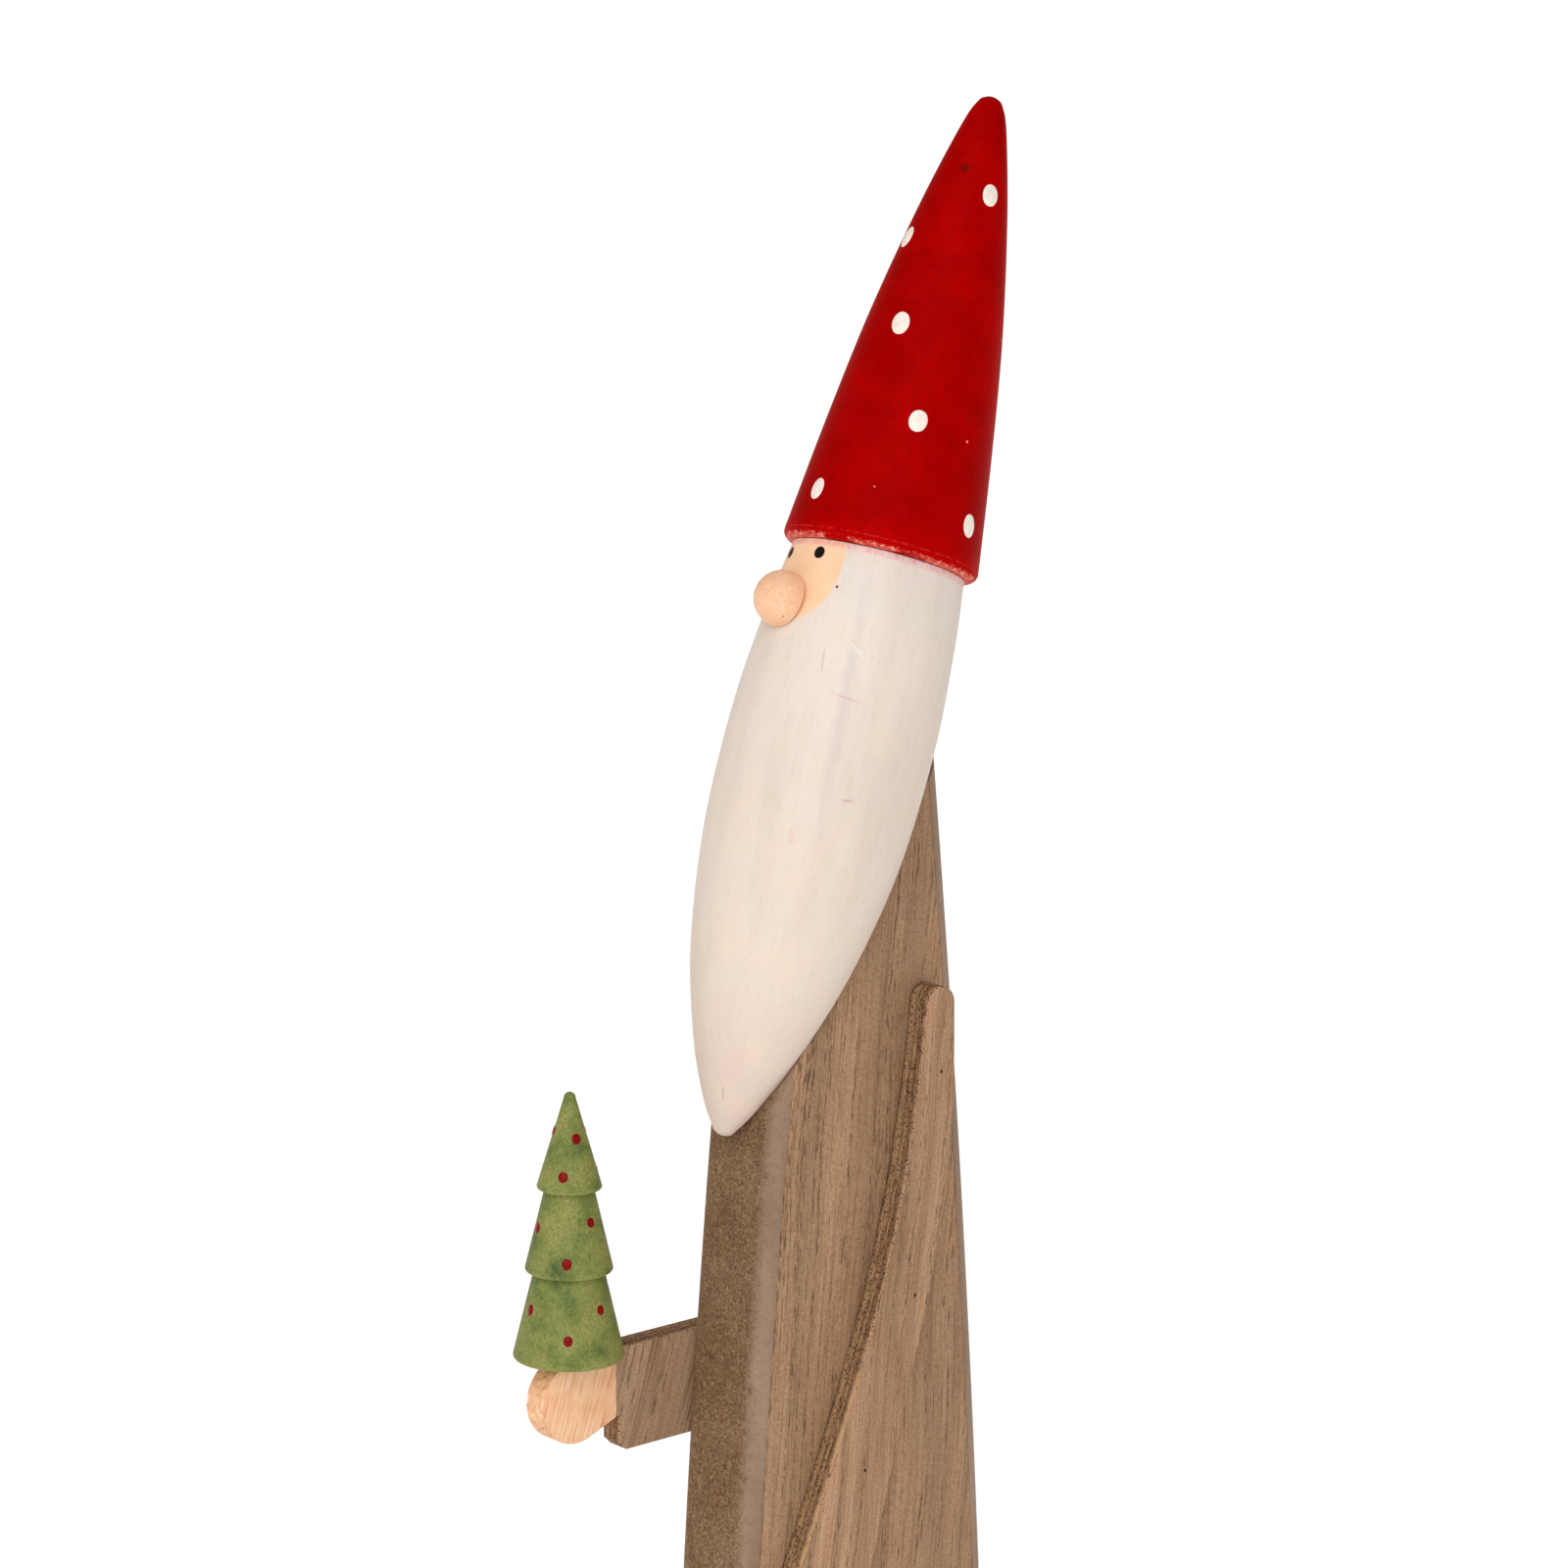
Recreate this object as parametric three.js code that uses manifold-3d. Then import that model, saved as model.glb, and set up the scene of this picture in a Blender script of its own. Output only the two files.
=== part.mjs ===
// Tomte gnome figurine: a turned head glued on a sawn slab body, with two sawn arms and a small
// turned tree. Millimetres, +Z up, the figure looks along -Y and its left hand is on +X.
// The origin is the centre of the base plate's underside.
import * as THREE from 'three';
import { mergeVertices } from 'three/addons/utils/BufferGeometryUtils.js';
import Module from 'manifold-3d';

const wasm = await Module();
wasm.setup();

// Clearances
const gap = 0.3; // glue line between pieces that touch, and round every pin
const overrun = 5; // how far a cutter reaches past the face that it cuts

// Base plate
const baseMargin = { side: 27, end: 11.3 }; // how far the plate stands out round the slab's foot
const baseThickness = 12;
const baseCorner = 12;
const baseRounding = 2;

// Slab body: its front and back edges follow foot + lean * z + bow * z * z
const slabWidth = 36;
const slabDepth = 127.4; // at the foot
const slabRounding = 6;
const veneerThickness = 0.7;
const frontEdge = { foot: -slabDepth / 2, lean: 0.0033, bow: 1.18e-4 };
const backEdge = { foot: slabDepth / 2, lean: -0.0163, bow: -8.3e-5 };
const seatHeight = 424; // where the sloping seat of the head leaves the front face
const seatAngle = THREE.MathUtils.degToRad(33); // from the vertical

// Turned beard and face: its shape is radius against height above the tip, along its axis,
// as shares of the largest radius and of the length
const beardTilt = THREE.MathUtils.degToRad(20.2);
const beardTipProud = 7.9; // the tip stands this far in front of the slab
const beardTipDrop = 10.1; // and this far below the seat line
const beardLength = 197.1; // to the seat of the hat
const beardRadius = 34.4;
const beardShape = [
  [0, 0], [0.076, 0.004], [0.134, 0.015], [0.3, 0.061], [0.532, 0.152], [0.794, 0.304],
  [0.968, 0.507], [1, 0.715], [0.93, 0.888], [0.849, 1], [0.814, 1.045],
];

// Turned hat: its shape is radius against height above the rim, as shares of the rim's radius and
// of its length. Its seat on the beard is sawn slightly askew, so the rim rises towards the
// figure's left and towards the front.
const hatTilt = THREE.MathUtils.degToRad(18.1);
const hatLength = 158.9;
const rimOverhang = 3.9; // how far the rim stands out from the face
const rimRounding = 3;
const rimSteps = 3;
const rimRise = { left: 0.066, front: 0.061 };
const hatShape = [
  [1, 0.02], [0.855, 0.263], [0.682, 0.507], [0.45, 0.75], [0.234, 0.929],
  [0.13, 0.984], [0.06, 0.997], [0, 1],
];

// Nose, a ball with a flat, glued on the face
const noseRadius = 9.5;
const noseProud = 1.6; // the ball's centre stands this far off the face
const noseDrop = 21.5; // below the seat of the hat
const faceTurn = THREE.MathUtils.degToRad(-7); // the face looks slightly to the figure's right

// Arms, sawn from board; both outlines are laid out round the shoulder's centre
const boardThickness = 9;
const boardRounding = 1;
const shoulderRise = 28; // shoulder centre above the seat line
const shoulderInset = 15.8; // shoulder centre in front of the slab's back edge
const shoulderRadius = 6.2;
const cuffHeight = 36.2;
const wristHeight = 23.4;
const handReach = 19.4; // from the cuff to the centre of the round hand
const handRadius = 14.4;
const handStep = 0.6; // the hand's edge lies this far inside the cuff's corner
const handSteps = 16;
const palmSlope = THREE.MathUtils.degToRad(18);
const cuffStep = 1.4; // small set-backs that blunt the cuff's lower corner
const forearmReach = 100.6; // from the shoulder centre to the right cuff
const elbowDrop = 145.8; // from the shoulder centre to the right sleeve's lower edge
const elbowRadius = 22;
const leftCuff = { y: -73.4, z: -212 }; // front corner of the left cuff
const leftSwing = THREE.MathUtils.degToRad(23.5); // the left arm swings this far forward

// Brads that pin the arms: places on the arm, from the shoulder's centre
const bradRadius = 0.8;
const bradLength = 20;
const bradSink = 0.5;
const leftBrads = [[0.3, -23], [-11, -99], [-33.2, -156]];
const rightBrads = [[0.3, -14], [1, -80], [-14, -127]];

// Little tree: its three tiers, each a cone with a rounded rim; it leans slightly back
const treeTop = 90.2; // above its foot
const treeTilt = THREE.MathUtils.degToRad(0.9);
const treeTiers = [
  { rim: 18.5, neck: 11.7, height: 0 },
  { rim: 14.6, neck: 8.2, height: 29.7 },
  { rim: 10.8, neck: 2, height: 57.6 },
];
const treeRounding = 0.9;
const treeRimSteps = 3;

// Dowels and screws
const headDowel = { radius: 4, length: 36 };
const headDowelInset = { lower: 42, upper: 41 }; // from the seat's lower and upper edges
const hatDowel = { radius: 5, length: 50 };
const noseDowel = { radius: 2.5, length: 16 };
const treeDowel = { radius: 2, length: 24 };
const screwLength = 40;
const screwRadius = 2;
const screwHeadRadius = 4;
const screwHeadHeight = 2.6;
const screwSlot = { width: 1.1, depth: 1.2 };
const screwSpacing = 70;

// Places worked out from the sizes above
const edgeY = (edge, z) => edge.foot + edge.lean * z + edge.bow * z * z;
const seatY = edgeY(frontEdge, seatHeight);
const slabBottom = baseThickness + gap;
const headDowelPlaces = [headDowelInset.lower, seatRun() - headDowelInset.upper];
const hatRim = beardRadius * beardShape.find(([, h]) => h === 1)[0] + rimOverhang;
const noseHeight = beardLength - noseDrop;
const shoulderZ = seatHeight + shoulderRise;
const shoulderY = edgeY(backEdge, shoulderZ) - shoulderInset;

// The seat runs up the slope until it meets the slab's back edge
function seatRun() {
  let run = 0;
  for (let i = 0; i < 30; i += 1) {
    run = (edgeY(backEdge, seatHeight + run * Math.cos(seatAngle)) - seatY) / Math.sin(seatAngle);
  }
  return run;
}

const materials = {
  mdf: new THREE.MeshStandardMaterial({ color: 0x6f5b49, roughness: 0.85, metalness: 0 }),
  veneer: new THREE.MeshStandardMaterial({ color: 0x84705c, roughness: 0.75, metalness: 0 }),
  plywood: new THREE.MeshStandardMaterial({ color: 0x7d6a56, roughness: 0.8, metalness: 0 }),
  beardPaint: new THREE.MeshStandardMaterial({ color: 0xe0d6cb, roughness: 0.6, metalness: 0 }),
  hatPaint: new THREE.MeshStandardMaterial({ color: 0xb00a0a, roughness: 0.5, metalness: 0 }),
  skinPaint: new THREE.MeshStandardMaterial({ color: 0xe3b48e, roughness: 0.6, metalness: 0 }),
  treePaint: new THREE.MeshStandardMaterial({ color: 0x5f7038, roughness: 0.6, metalness: 0 }),
  beech: new THREE.MeshStandardMaterial({ color: 0xc9a777, roughness: 0.7, metalness: 0 }),
  steel: new THREE.MeshStandardMaterial({ color: 0x8d8f92, roughness: 0.35, metalness: 1 }),
};

// Solids: a closed geometry becomes a manifold that can be cut, and comes back as a geometry
function toSolid(geometry, matrix = new THREE.Matrix4()) {
  const bare = geometry.clone().applyMatrix4(matrix);
  bare.deleteAttribute('normal');
  bare.deleteAttribute('uv');
  const merged = mergeVertices(bare, 1e-4);
  const index = merged.index.array;
  const triangles = [];
  for (let i = 0; i < index.length; i += 3) {
    const [a, b, c] = index.slice(i, i + 3);
    if (a !== b && b !== c && c !== a) triangles.push(a, b, c);
  }
  return new wasm.Manifold(new wasm.Mesh({
    numProp: 3,
    vertProperties: new Float32Array(merged.attributes.position.array),
    triVerts: new Uint32Array(triangles),
  }));
}

function toGeometry(solid) {
  const mesh = solid.getMesh();
  const geometry = new THREE.BufferGeometry();
  geometry.setAttribute('position', new THREE.BufferAttribute(mesh.vertProperties, 3));
  geometry.setIndex(new THREE.BufferAttribute(mesh.triVerts, 1));
  geometry.computeVertexNormals();
  return geometry;
}

function addMesh(parent, name, geometry, material) {
  const mesh = new THREE.Mesh(geometry, material);
  mesh.name = name;
  parent.add(mesh);
  return mesh;
}

// A turned piece: its profile is radius against height, its axis is +Z
function turned(profile, segments) {
  const points = profile.map(([radius, height]) => new THREE.Vector2(radius, height));
  return new THREE.LatheGeometry(points, segments).rotateX(Math.PI / 2);
}

// A smooth profile through the few points of a shape
function smoothProfile(shape, radius, length, divisions) {
  const curve = new THREE.SplineCurve(shape.map(([r, h]) => new THREE.Vector2(r * radius, h * length)));
  return curve.getPoints(divisions).map((p) => [Math.max(p.x, 0), p.y]);
}

// A round bar along +Z from z = bottom
function bar(radius, length, bottom, segments = 16) {
  const cylinder = new THREE.CylinderGeometry(radius, radius, length, segments);
  return cylinder.rotateX(Math.PI / 2).translate(0, 0, bottom + length / 2);
}

// The hole for half of a dowel that crosses z = 0, on the upper or lower side
function dowelHole(dowel, side) {
  const depth = dowel.length / 2 + 2 * gap;
  const bottom = side > 0 ? -overrun : -depth;
  return bar(dowel.radius + gap, depth + overrun, bottom);
}

// A board cut to an outline drawn in Y and Z, its thickness along +X from x = 0
function board(shape, thickness, rounding, segments = 2) {
  const options = rounding > 0
    ? {
      depth: thickness - 2 * rounding,
      bevelEnabled: true,
      bevelThickness: rounding,
      bevelSize: rounding,
      bevelOffset: -rounding,
      bevelSegments: segments,
      curveSegments: 4,
    }
    : { depth: thickness, bevelEnabled: false };
  const axes = new THREE.Matrix4().makeBasis(
    new THREE.Vector3(0, 1, 0), new THREE.Vector3(0, 0, 1), new THREE.Vector3(1, 0, 0),
  );
  return new THREE.ExtrudeGeometry(shape, options).translate(0, 0, rounding).applyMatrix4(axes);
}

// Frames
function frameAt(position, rotation) {
  return new THREE.Matrix4().compose(
    position, new THREE.Quaternion().setFromEuler(rotation), new THREE.Vector3(1, 1, 1),
  );
}

// The seat's frame: origin on its lower edge, +Y up the slope and +Z out of it, into the beard
const seatFrame = frameAt(
  new THREE.Vector3(0, seatY, seatHeight),
  new THREE.Euler(Math.PI / 2 - seatAngle, 0, 0),
);
const headFrame = frameAt(
  new THREE.Vector3(0, seatY - beardTipProud, seatHeight - beardTipDrop),
  new THREE.Euler(-beardTilt, 0, 0),
);
const hatFrame = frameAt(
  new THREE.Vector3(0, 0, beardLength),
  new THREE.Euler(beardTilt - hatTilt, 0, 0),
);
const rimFrame = hatFrame.clone().multiply(frameAt(
  new THREE.Vector3(),
  new THREE.Euler(-Math.atan(rimRise.front), -Math.atan(rimRise.left), 0),
));

function headDowelFrame(place) {
  const move = new THREE.Matrix4().makeTranslation(0, place, -headDowel.length / 2);
  return seatFrame.clone().multiply(move);
}

// A cutter that clears everything above z = level in a frame, or below it
function halfSpace(level, side, frame) {
  const size = 1000;
  const box = new THREE.BoxGeometry(size, size, size).translate(0, 0, level + side * size / 2);
  return toSolid(box, frame);
}

// Base plate
const gnome = new THREE.Group();

function screwPlaces() {
  return [-screwSpacing / 2, screwSpacing / 2];
}

function makeBase() {
  const plate = new THREE.Shape();
  const halfX = slabWidth / 2 + baseMargin.side;
  const halfY = slabDepth / 2 + baseMargin.end;
  plate.moveTo(halfX - baseCorner, -halfY);
  plate.absarc(halfX - baseCorner, -halfY + baseCorner, baseCorner, -Math.PI / 2, 0);
  plate.absarc(halfX - baseCorner, halfY - baseCorner, baseCorner, 0, Math.PI / 2);
  plate.absarc(-halfX + baseCorner, halfY - baseCorner, baseCorner, Math.PI / 2, Math.PI);
  plate.absarc(-halfX + baseCorner, -halfY + baseCorner, baseCorner, Math.PI, 1.5 * Math.PI);
  const options = {
    depth: baseThickness,
    bevelThickness: baseRounding,
    bevelSize: baseRounding,
    bevelOffset: -baseRounding,
    bevelSegments: 3,
    curveSegments: 6,
  };
  const blank = new THREE.ExtrudeGeometry(plate, options).translate(0, 0, -baseRounding);
  let solid = toSolid(blank).subtract(halfSpace(0, -1));
  for (const y of screwPlaces()) {
    const head = screwHeadRadius + gap;
    const shank = screwRadius + gap;
    const sink = [
      [0, -overrun], [head, -overrun], [head, gap], [shank, gap + screwHeadHeight],
      [shank, baseThickness + overrun], [0, baseThickness + overrun],
    ];
    const place = new THREE.Matrix4().makeTranslation(0, y, 0);
    solid = solid.subtract(toSolid(turned(sink, 16), place));
  }
  addMesh(gnome, 'base_plate', toGeometry(solid), materials.mdf);
}

function makeScrews() {
  const profile = [
    [0, 0], [screwHeadRadius, 0], [screwRadius, screwHeadHeight],
    [screwRadius, screwLength - 2 * screwRadius], [0, screwLength],
  ];
  const slot = new THREE.BoxGeometry(3 * screwHeadRadius, screwSlot.width, 2 * screwSlot.depth);
  const solid = toSolid(turned(profile, 16)).subtract(toSolid(slot));
  const names = ['base_screw_front', 'base_screw_rear'];
  screwPlaces().forEach((y, i) => {
    const screw = addMesh(gnome, names[i], toGeometry(solid), materials.steel);
    screw.position.set(0, y, gap);
  });
}

// Slab body
function slabOutline(inset, bottom) {
  const top = seatHeight + (edgeY(backEdge, seatHeight) - seatY) / Math.tan(seatAngle) + 4 * overrun;
  const steps = 14;
  const shape = new THREE.Shape();
  for (let i = 0; i <= steps; i += 1) {
    const z = bottom + (top - bottom) * i / steps;
    if (i === 0) shape.moveTo(edgeY(frontEdge, z) + inset, z);
    else shape.lineTo(edgeY(frontEdge, z) + inset, z);
  }
  for (let i = steps; i >= 0; i -= 1) {
    const z = bottom + (top - bottom) * i / steps;
    shape.lineTo(edgeY(backEdge, z) - inset, z);
  }
  return shape;
}

function trimToSeatAndFoot(solid) {
  const foot = new THREE.Matrix4().makeTranslation(0, 0, slabBottom);
  return solid.subtract(halfSpace(0, 1, seatFrame)).subtract(halfSpace(0, -1, foot));
}

// Bores for the brads, drilled from the outer face of the arm on one side
function bradBores(side, places, clearance) {
  const depth = bradLength + bradSink + overrun;
  const outside = slabWidth / 2 + gap + boardThickness + overrun;
  return places.map(([y, z]) => {
    const bore = bar(bradRadius + clearance, depth, 0, 8).rotateY(-side * Math.PI / 2);
    bore.translate(side * outside, shoulderY + y, shoulderZ + z);
    return toSolid(bore);
  });
}

function makeBody() {
  const blank = board(slabOutline(0, -slabRounding), slabWidth, slabRounding, 5);
  let core = trimToSeatAndFoot(toSolid(blank.translate(-slabWidth / 2, 0, 0)));
  const recess = board(slabOutline(slabRounding - gap, -overrun), veneerThickness + gap + overrun, 0);
  const sheet = board(slabOutline(slabRounding, -overrun), veneerThickness, 0);
  const face = slabWidth / 2 - veneerThickness;
  for (const side of [1, -1]) {
    const recessX = side > 0 ? face - gap : -face - veneerThickness - overrun;
    core = core.subtract(toSolid(recess, new THREE.Matrix4().makeTranslation(recessX, 0, 0)));
    const sheetX = side > 0 ? face : -face - veneerThickness;
    let veneer = trimToSeatAndFoot(toSolid(sheet, new THREE.Matrix4().makeTranslation(sheetX, 0, 0)));
    for (const bore of bradBores(side, side > 0 ? leftBrads : rightBrads, gap)) {
      core = core.subtract(bore);
      veneer = veneer.subtract(bore);
    }
    const name = side > 0 ? 'body_veneer_left' : 'body_veneer_right';
    addMesh(gnome, name, toGeometry(veneer), materials.veneer);
  }
  for (const place of headDowelPlaces) {
    const bore = bar(headDowel.radius + gap, headDowel.length + gap + overrun, -gap);
    core = core.subtract(toSolid(bore, headDowelFrame(place)));
  }
  for (const y of screwPlaces()) {
    const bore = bar(screwRadius + gap, screwLength + 2 * gap, 0);
    core = core.subtract(toSolid(bore.translate(0, y, 0)));
  }
  addMesh(gnome, 'body_core', toGeometry(core), materials.mdf);
  headDowelPlaces.forEach((place, i) => {
    const name = i === 0 ? 'head_dowel_lower' : 'head_dowel_upper';
    const dowel = addMesh(gnome, name, bar(headDowel.radius, headDowel.length, 0), materials.beech);
    dowel.applyMatrix4(headDowelFrame(place));
  });
}

// Head: the beard's group leans back, and the hat's group sits in it at its own lean
const head = new THREE.Group();
head.applyMatrix4(headFrame);
gnome.add(head);
const toHead = headFrame.clone().invert();
const beardCurve = smoothProfile(beardShape, beardRadius, beardLength, 26);

function beardRadiusAt(height) {
  const i = beardCurve.findIndex(([, h]) => h >= height);
  const [r0, h0] = beardCurve[i - 1];
  const [r1, h1] = beardCurve[i];
  return { radius: r0 + (r1 - r0) * (height - h0) / (h1 - h0), slope: (r1 - r0) / (h1 - h0) };
}

// The nose's frame in the head: origin on the face, +Z straight out of it
function noseFrame() {
  const { radius, slope } = beardRadiusAt(noseHeight);
  const lift = Math.atan(-slope);
  const turn = new THREE.Matrix4().makeRotationZ(faceTurn);
  const move = new THREE.Matrix4().makeTranslation(0, -radius, noseHeight);
  const tip = new THREE.Matrix4().makeRotationX(Math.PI / 2 - lift);
  return turn.multiply(move).multiply(tip);
}

function makeBeard() {
  const blank = turned([...beardCurve, [0, beardCurve.at(-1)[1]]], 40);
  let solid = toSolid(blank);
  solid = solid.subtract(halfSpace(0, 1, rimFrame));
  solid = solid.subtract(halfSpace(gap, -1, toHead.clone().multiply(seatFrame)));
  for (const place of headDowelPlaces) {
    const bore = bar(headDowel.radius + gap, headDowel.length + gap + overrun, -overrun);
    solid = solid.subtract(toSolid(bore, toHead.clone().multiply(headDowelFrame(place))));
  }
  solid = solid.subtract(toSolid(dowelHole(noseDowel, -1), noseFrame()));
  solid = solid.subtract(toSolid(dowelHole(hatDowel, -1), hatFrame));
  addMesh(head, 'head_beard', toGeometry(solid), materials.beardPaint);
}

function makeHat() {
  const hatGroup = new THREE.Group();
  hatGroup.applyMatrix4(hatFrame);
  head.add(hatGroup);
  const profile = [[0, 0]];
  for (let i = 0; i < rimSteps; i += 1) {
    const angle = Math.PI / 2 * i / rimSteps;
    profile.push([
      hatRim - rimRounding * (1 - Math.sin(angle)), rimRounding * (1 - Math.cos(angle)),
    ]);
  }
  profile.push(...smoothProfile(hatShape, hatRim, hatLength, 16));
  const blank = turned(profile, 40);
  const corner = blank.attributes.position;
  for (let i = 0; i < corner.count; i += 1) {
    const rise = rimRise.left * corner.getX(i) - rimRise.front * corner.getY(i);
    corner.setZ(i, corner.getZ(i) + rise * (1 - corner.getZ(i) / hatLength));
  }
  const solid = toSolid(blank).subtract(toSolid(dowelHole(hatDowel, 1)));
  const hat = addMesh(hatGroup, 'hat', toGeometry(solid), materials.hatPaint);
  hat.position.z = gap;
  const dowel = bar(hatDowel.radius, hatDowel.length, -hatDowel.length / 2);
  addMesh(hatGroup, 'hat_dowel', dowel, materials.beech).position.z = gap / 2;
}

function makeNose() {
  const noseGroup = new THREE.Group();
  noseGroup.applyMatrix4(noseFrame());
  head.add(noseGroup);
  const ball = new THREE.SphereGeometry(noseRadius, 24, 14).translate(0, 0, noseProud);
  const solid = toSolid(ball).subtract(halfSpace(gap, -1)).subtract(toSolid(dowelHole(noseDowel, 1)));
  addMesh(noseGroup, 'nose', toGeometry(solid), materials.skinPaint);
  const dowel = bar(noseDowel.radius, noseDowel.length, -noseDowel.length / 2);
  addMesh(noseGroup, 'nose_dowel', dowel, materials.beech).position.z = gap / 2;
}

// Arms: one outline each, laid out round the shoulder's centre
// The hand runs on from the cuff's corner: along is its direction, and across leads to the notch.
// Its end is round, and the palm slopes up to the wrist before the sleeve's cuff steps out.
function addHand(shape, cuff, along) {
  const across = along.clone().rotateAround(new THREE.Vector2(), Math.PI / 2);
  const at = (d, h) => cuff.clone().addScaledVector(along, d).addScaledVector(across, h);
  const outline = [cuff, at(0, handStep)];
  for (let i = 0; i <= handSteps; i += 1) {
    const angle = (Math.PI + palmSlope) * i / handSteps;
    const depth = handStep + handRadius * (1 - Math.cos(angle));
    outline.push(at(handReach + handRadius * Math.sin(angle), depth));
  }
  outline.push(at(cuffStep, wristHeight), at(cuffStep, cuffHeight - 2 * cuffStep), at(-cuffStep, cuffHeight));
  shape.moveTo(cuff.x, cuff.y);
  outline.slice(1).forEach((point) => shape.lineTo(point.x, point.y));
}

function rightArmOutline() {
  const top = cuffHeight - elbowDrop;
  const cuff = new THREE.Vector2(-forearmReach, top);
  const shape = new THREE.Shape();
  addHand(shape, cuff, new THREE.Vector2(-1, 0));
  shape.lineTo(shoulderRadius - elbowRadius, -elbowDrop);
  shape.quadraticCurveTo(shoulderRadius + 2, -elbowDrop, shoulderRadius + 3, elbowRadius - elbowDrop);
  shape.quadraticCurveTo(shoulderRadius + 3.5, -60, shoulderRadius, 0);
  shape.absarc(0, 0, shoulderRadius, 0, Math.PI);
  shape.quadraticCurveTo(-shoulderRadius - 4, -50, -shoulderRadius - 11, top + 20);
  shape.quadraticCurveTo(-shoulderRadius - 15, top, -shoulderRadius - 34, top);
  shape.closePath();
  return shape;
}

function leftArmOutline() {
  const cuff = new THREE.Vector2(leftCuff.y, leftCuff.z);
  const along = new THREE.Vector2(-Math.sin(leftSwing), -Math.cos(leftSwing));
  const shape = new THREE.Shape();
  addHand(shape, cuff, along);
  const rear = [[-17, -144], [1, -77], [5.8, -35], [shoulderRadius, 0]];
  shape.splineThru(rear.map(([y, z]) => new THREE.Vector2(y, z)));
  shape.absarc(0, 0, shoulderRadius, 0, Math.PI);
  const front = [[-9.8, -27], [-19.3, -73], [-37.4, -127], [cuff.x, cuff.y]];
  shape.splineThru(front.map(([y, z]) => new THREE.Vector2(y, z)));
  return shape;
}

function makeArm(side, name, shape, brads) {
  const inner = slabWidth / 2 + gap;
  const x = side > 0 ? inner : -inner - boardThickness;
  const place = new THREE.Matrix4().makeTranslation(x, shoulderY, shoulderZ);
  let solid = toSolid(board(shape, boardThickness, boardRounding, 2), place);
  for (const bore of bradBores(side, brads, gap)) solid = solid.subtract(bore);
  if (side < 0) {
    solid = solid.subtract(toSolid(dowelHole(treeDowel, -1), treeFrame()));
  }
  const undo = place.clone().invert();
  const arm = addMesh(gnome, name, toGeometry(solid).applyMatrix4(undo), materials.plywood);
  arm.applyMatrix4(place);
  const bradHead = inner + boardThickness - bradSink;
  const tip = 2 * bradRadius;
  const profile = [[0, 0], [bradRadius, 0], [bradRadius, bradLength - tip], [0, bradLength]];
  brads.forEach(([y, z], i) => {
    const brad = addMesh(gnome, `${name}_brad_${i + 1}`, turned(profile, 8), materials.steel);
    brad.rotation.y = -side * Math.PI / 2;
    brad.position.set(side * bradHead, shoulderY + y, shoulderZ + z);
  });
}

// Tree: its frame stands on the top of the right hand, over the centre of its round end
function treeFrame() {
  const place = new THREE.Vector3(
    -slabWidth / 2 - gap - boardThickness / 2,
    shoulderY - forearmReach - handReach,
    shoulderZ - elbowDrop + cuffHeight - handStep,
  );
  return frameAt(place, new THREE.Euler(-treeTilt, 0, 0));
}

function makeTree() {
  const treeGroup = new THREE.Group();
  treeGroup.applyMatrix4(treeFrame());
  gnome.add(treeGroup);
  const profile = [[0, 0]];
  treeTiers.forEach(({ rim, neck, height }, i) => {
    const next = i + 1 < treeTiers.length ? treeTiers[i + 1].height : treeTop - neck;
    for (let step = 0; step <= treeRimSteps; step += 1) {
      const angle = Math.PI / 2 * step / treeRimSteps;
      profile.push([
        rim - treeRounding * (1 - Math.sin(angle)), height + treeRounding * (1 - Math.cos(angle)),
      ]);
    }
    profile.push([neck, next]);
  });
  const [tip] = treeTiers.slice(-1);
  profile.push([0.7 * tip.neck, treeTop - 0.3 * tip.neck], [0, treeTop]);
  const solid = toSolid(turned(profile, 32)).subtract(toSolid(dowelHole(treeDowel, 1)));
  const lift = gap + treeTiers[0].rim * Math.sin(treeTilt); // its low side just clears the hand
  addMesh(treeGroup, 'tree', toGeometry(solid), materials.treePaint).position.z = lift;
  const dowel = bar(treeDowel.radius, treeDowel.length, -treeDowel.length / 2, 12);
  addMesh(treeGroup, 'tree_dowel', dowel, materials.beech).position.z = lift / 2;
}

makeBase();
makeScrews();
makeBody();
makeBeard();
makeHat();
makeNose();
makeArm(1, 'left_arm', leftArmOutline(), leftBrads);
makeArm(-1, 'right_arm', rightArmOutline(), rightBrads);
makeTree();

export default gnome;
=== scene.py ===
# Tomte gnome figurine: a turned head on a sawn slab body, two sawn arms and a small turned tree.
# The figure looks along -Y, its left hand is on +X, and sizes are in millimetres unless a name says metres.
import bpy
import bmesh
import random
from math import atan, cos, pi, radians, sin, sqrt, tan
from mathutils import Matrix, Vector
from mathutils.bvhtree import BVHTree


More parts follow.
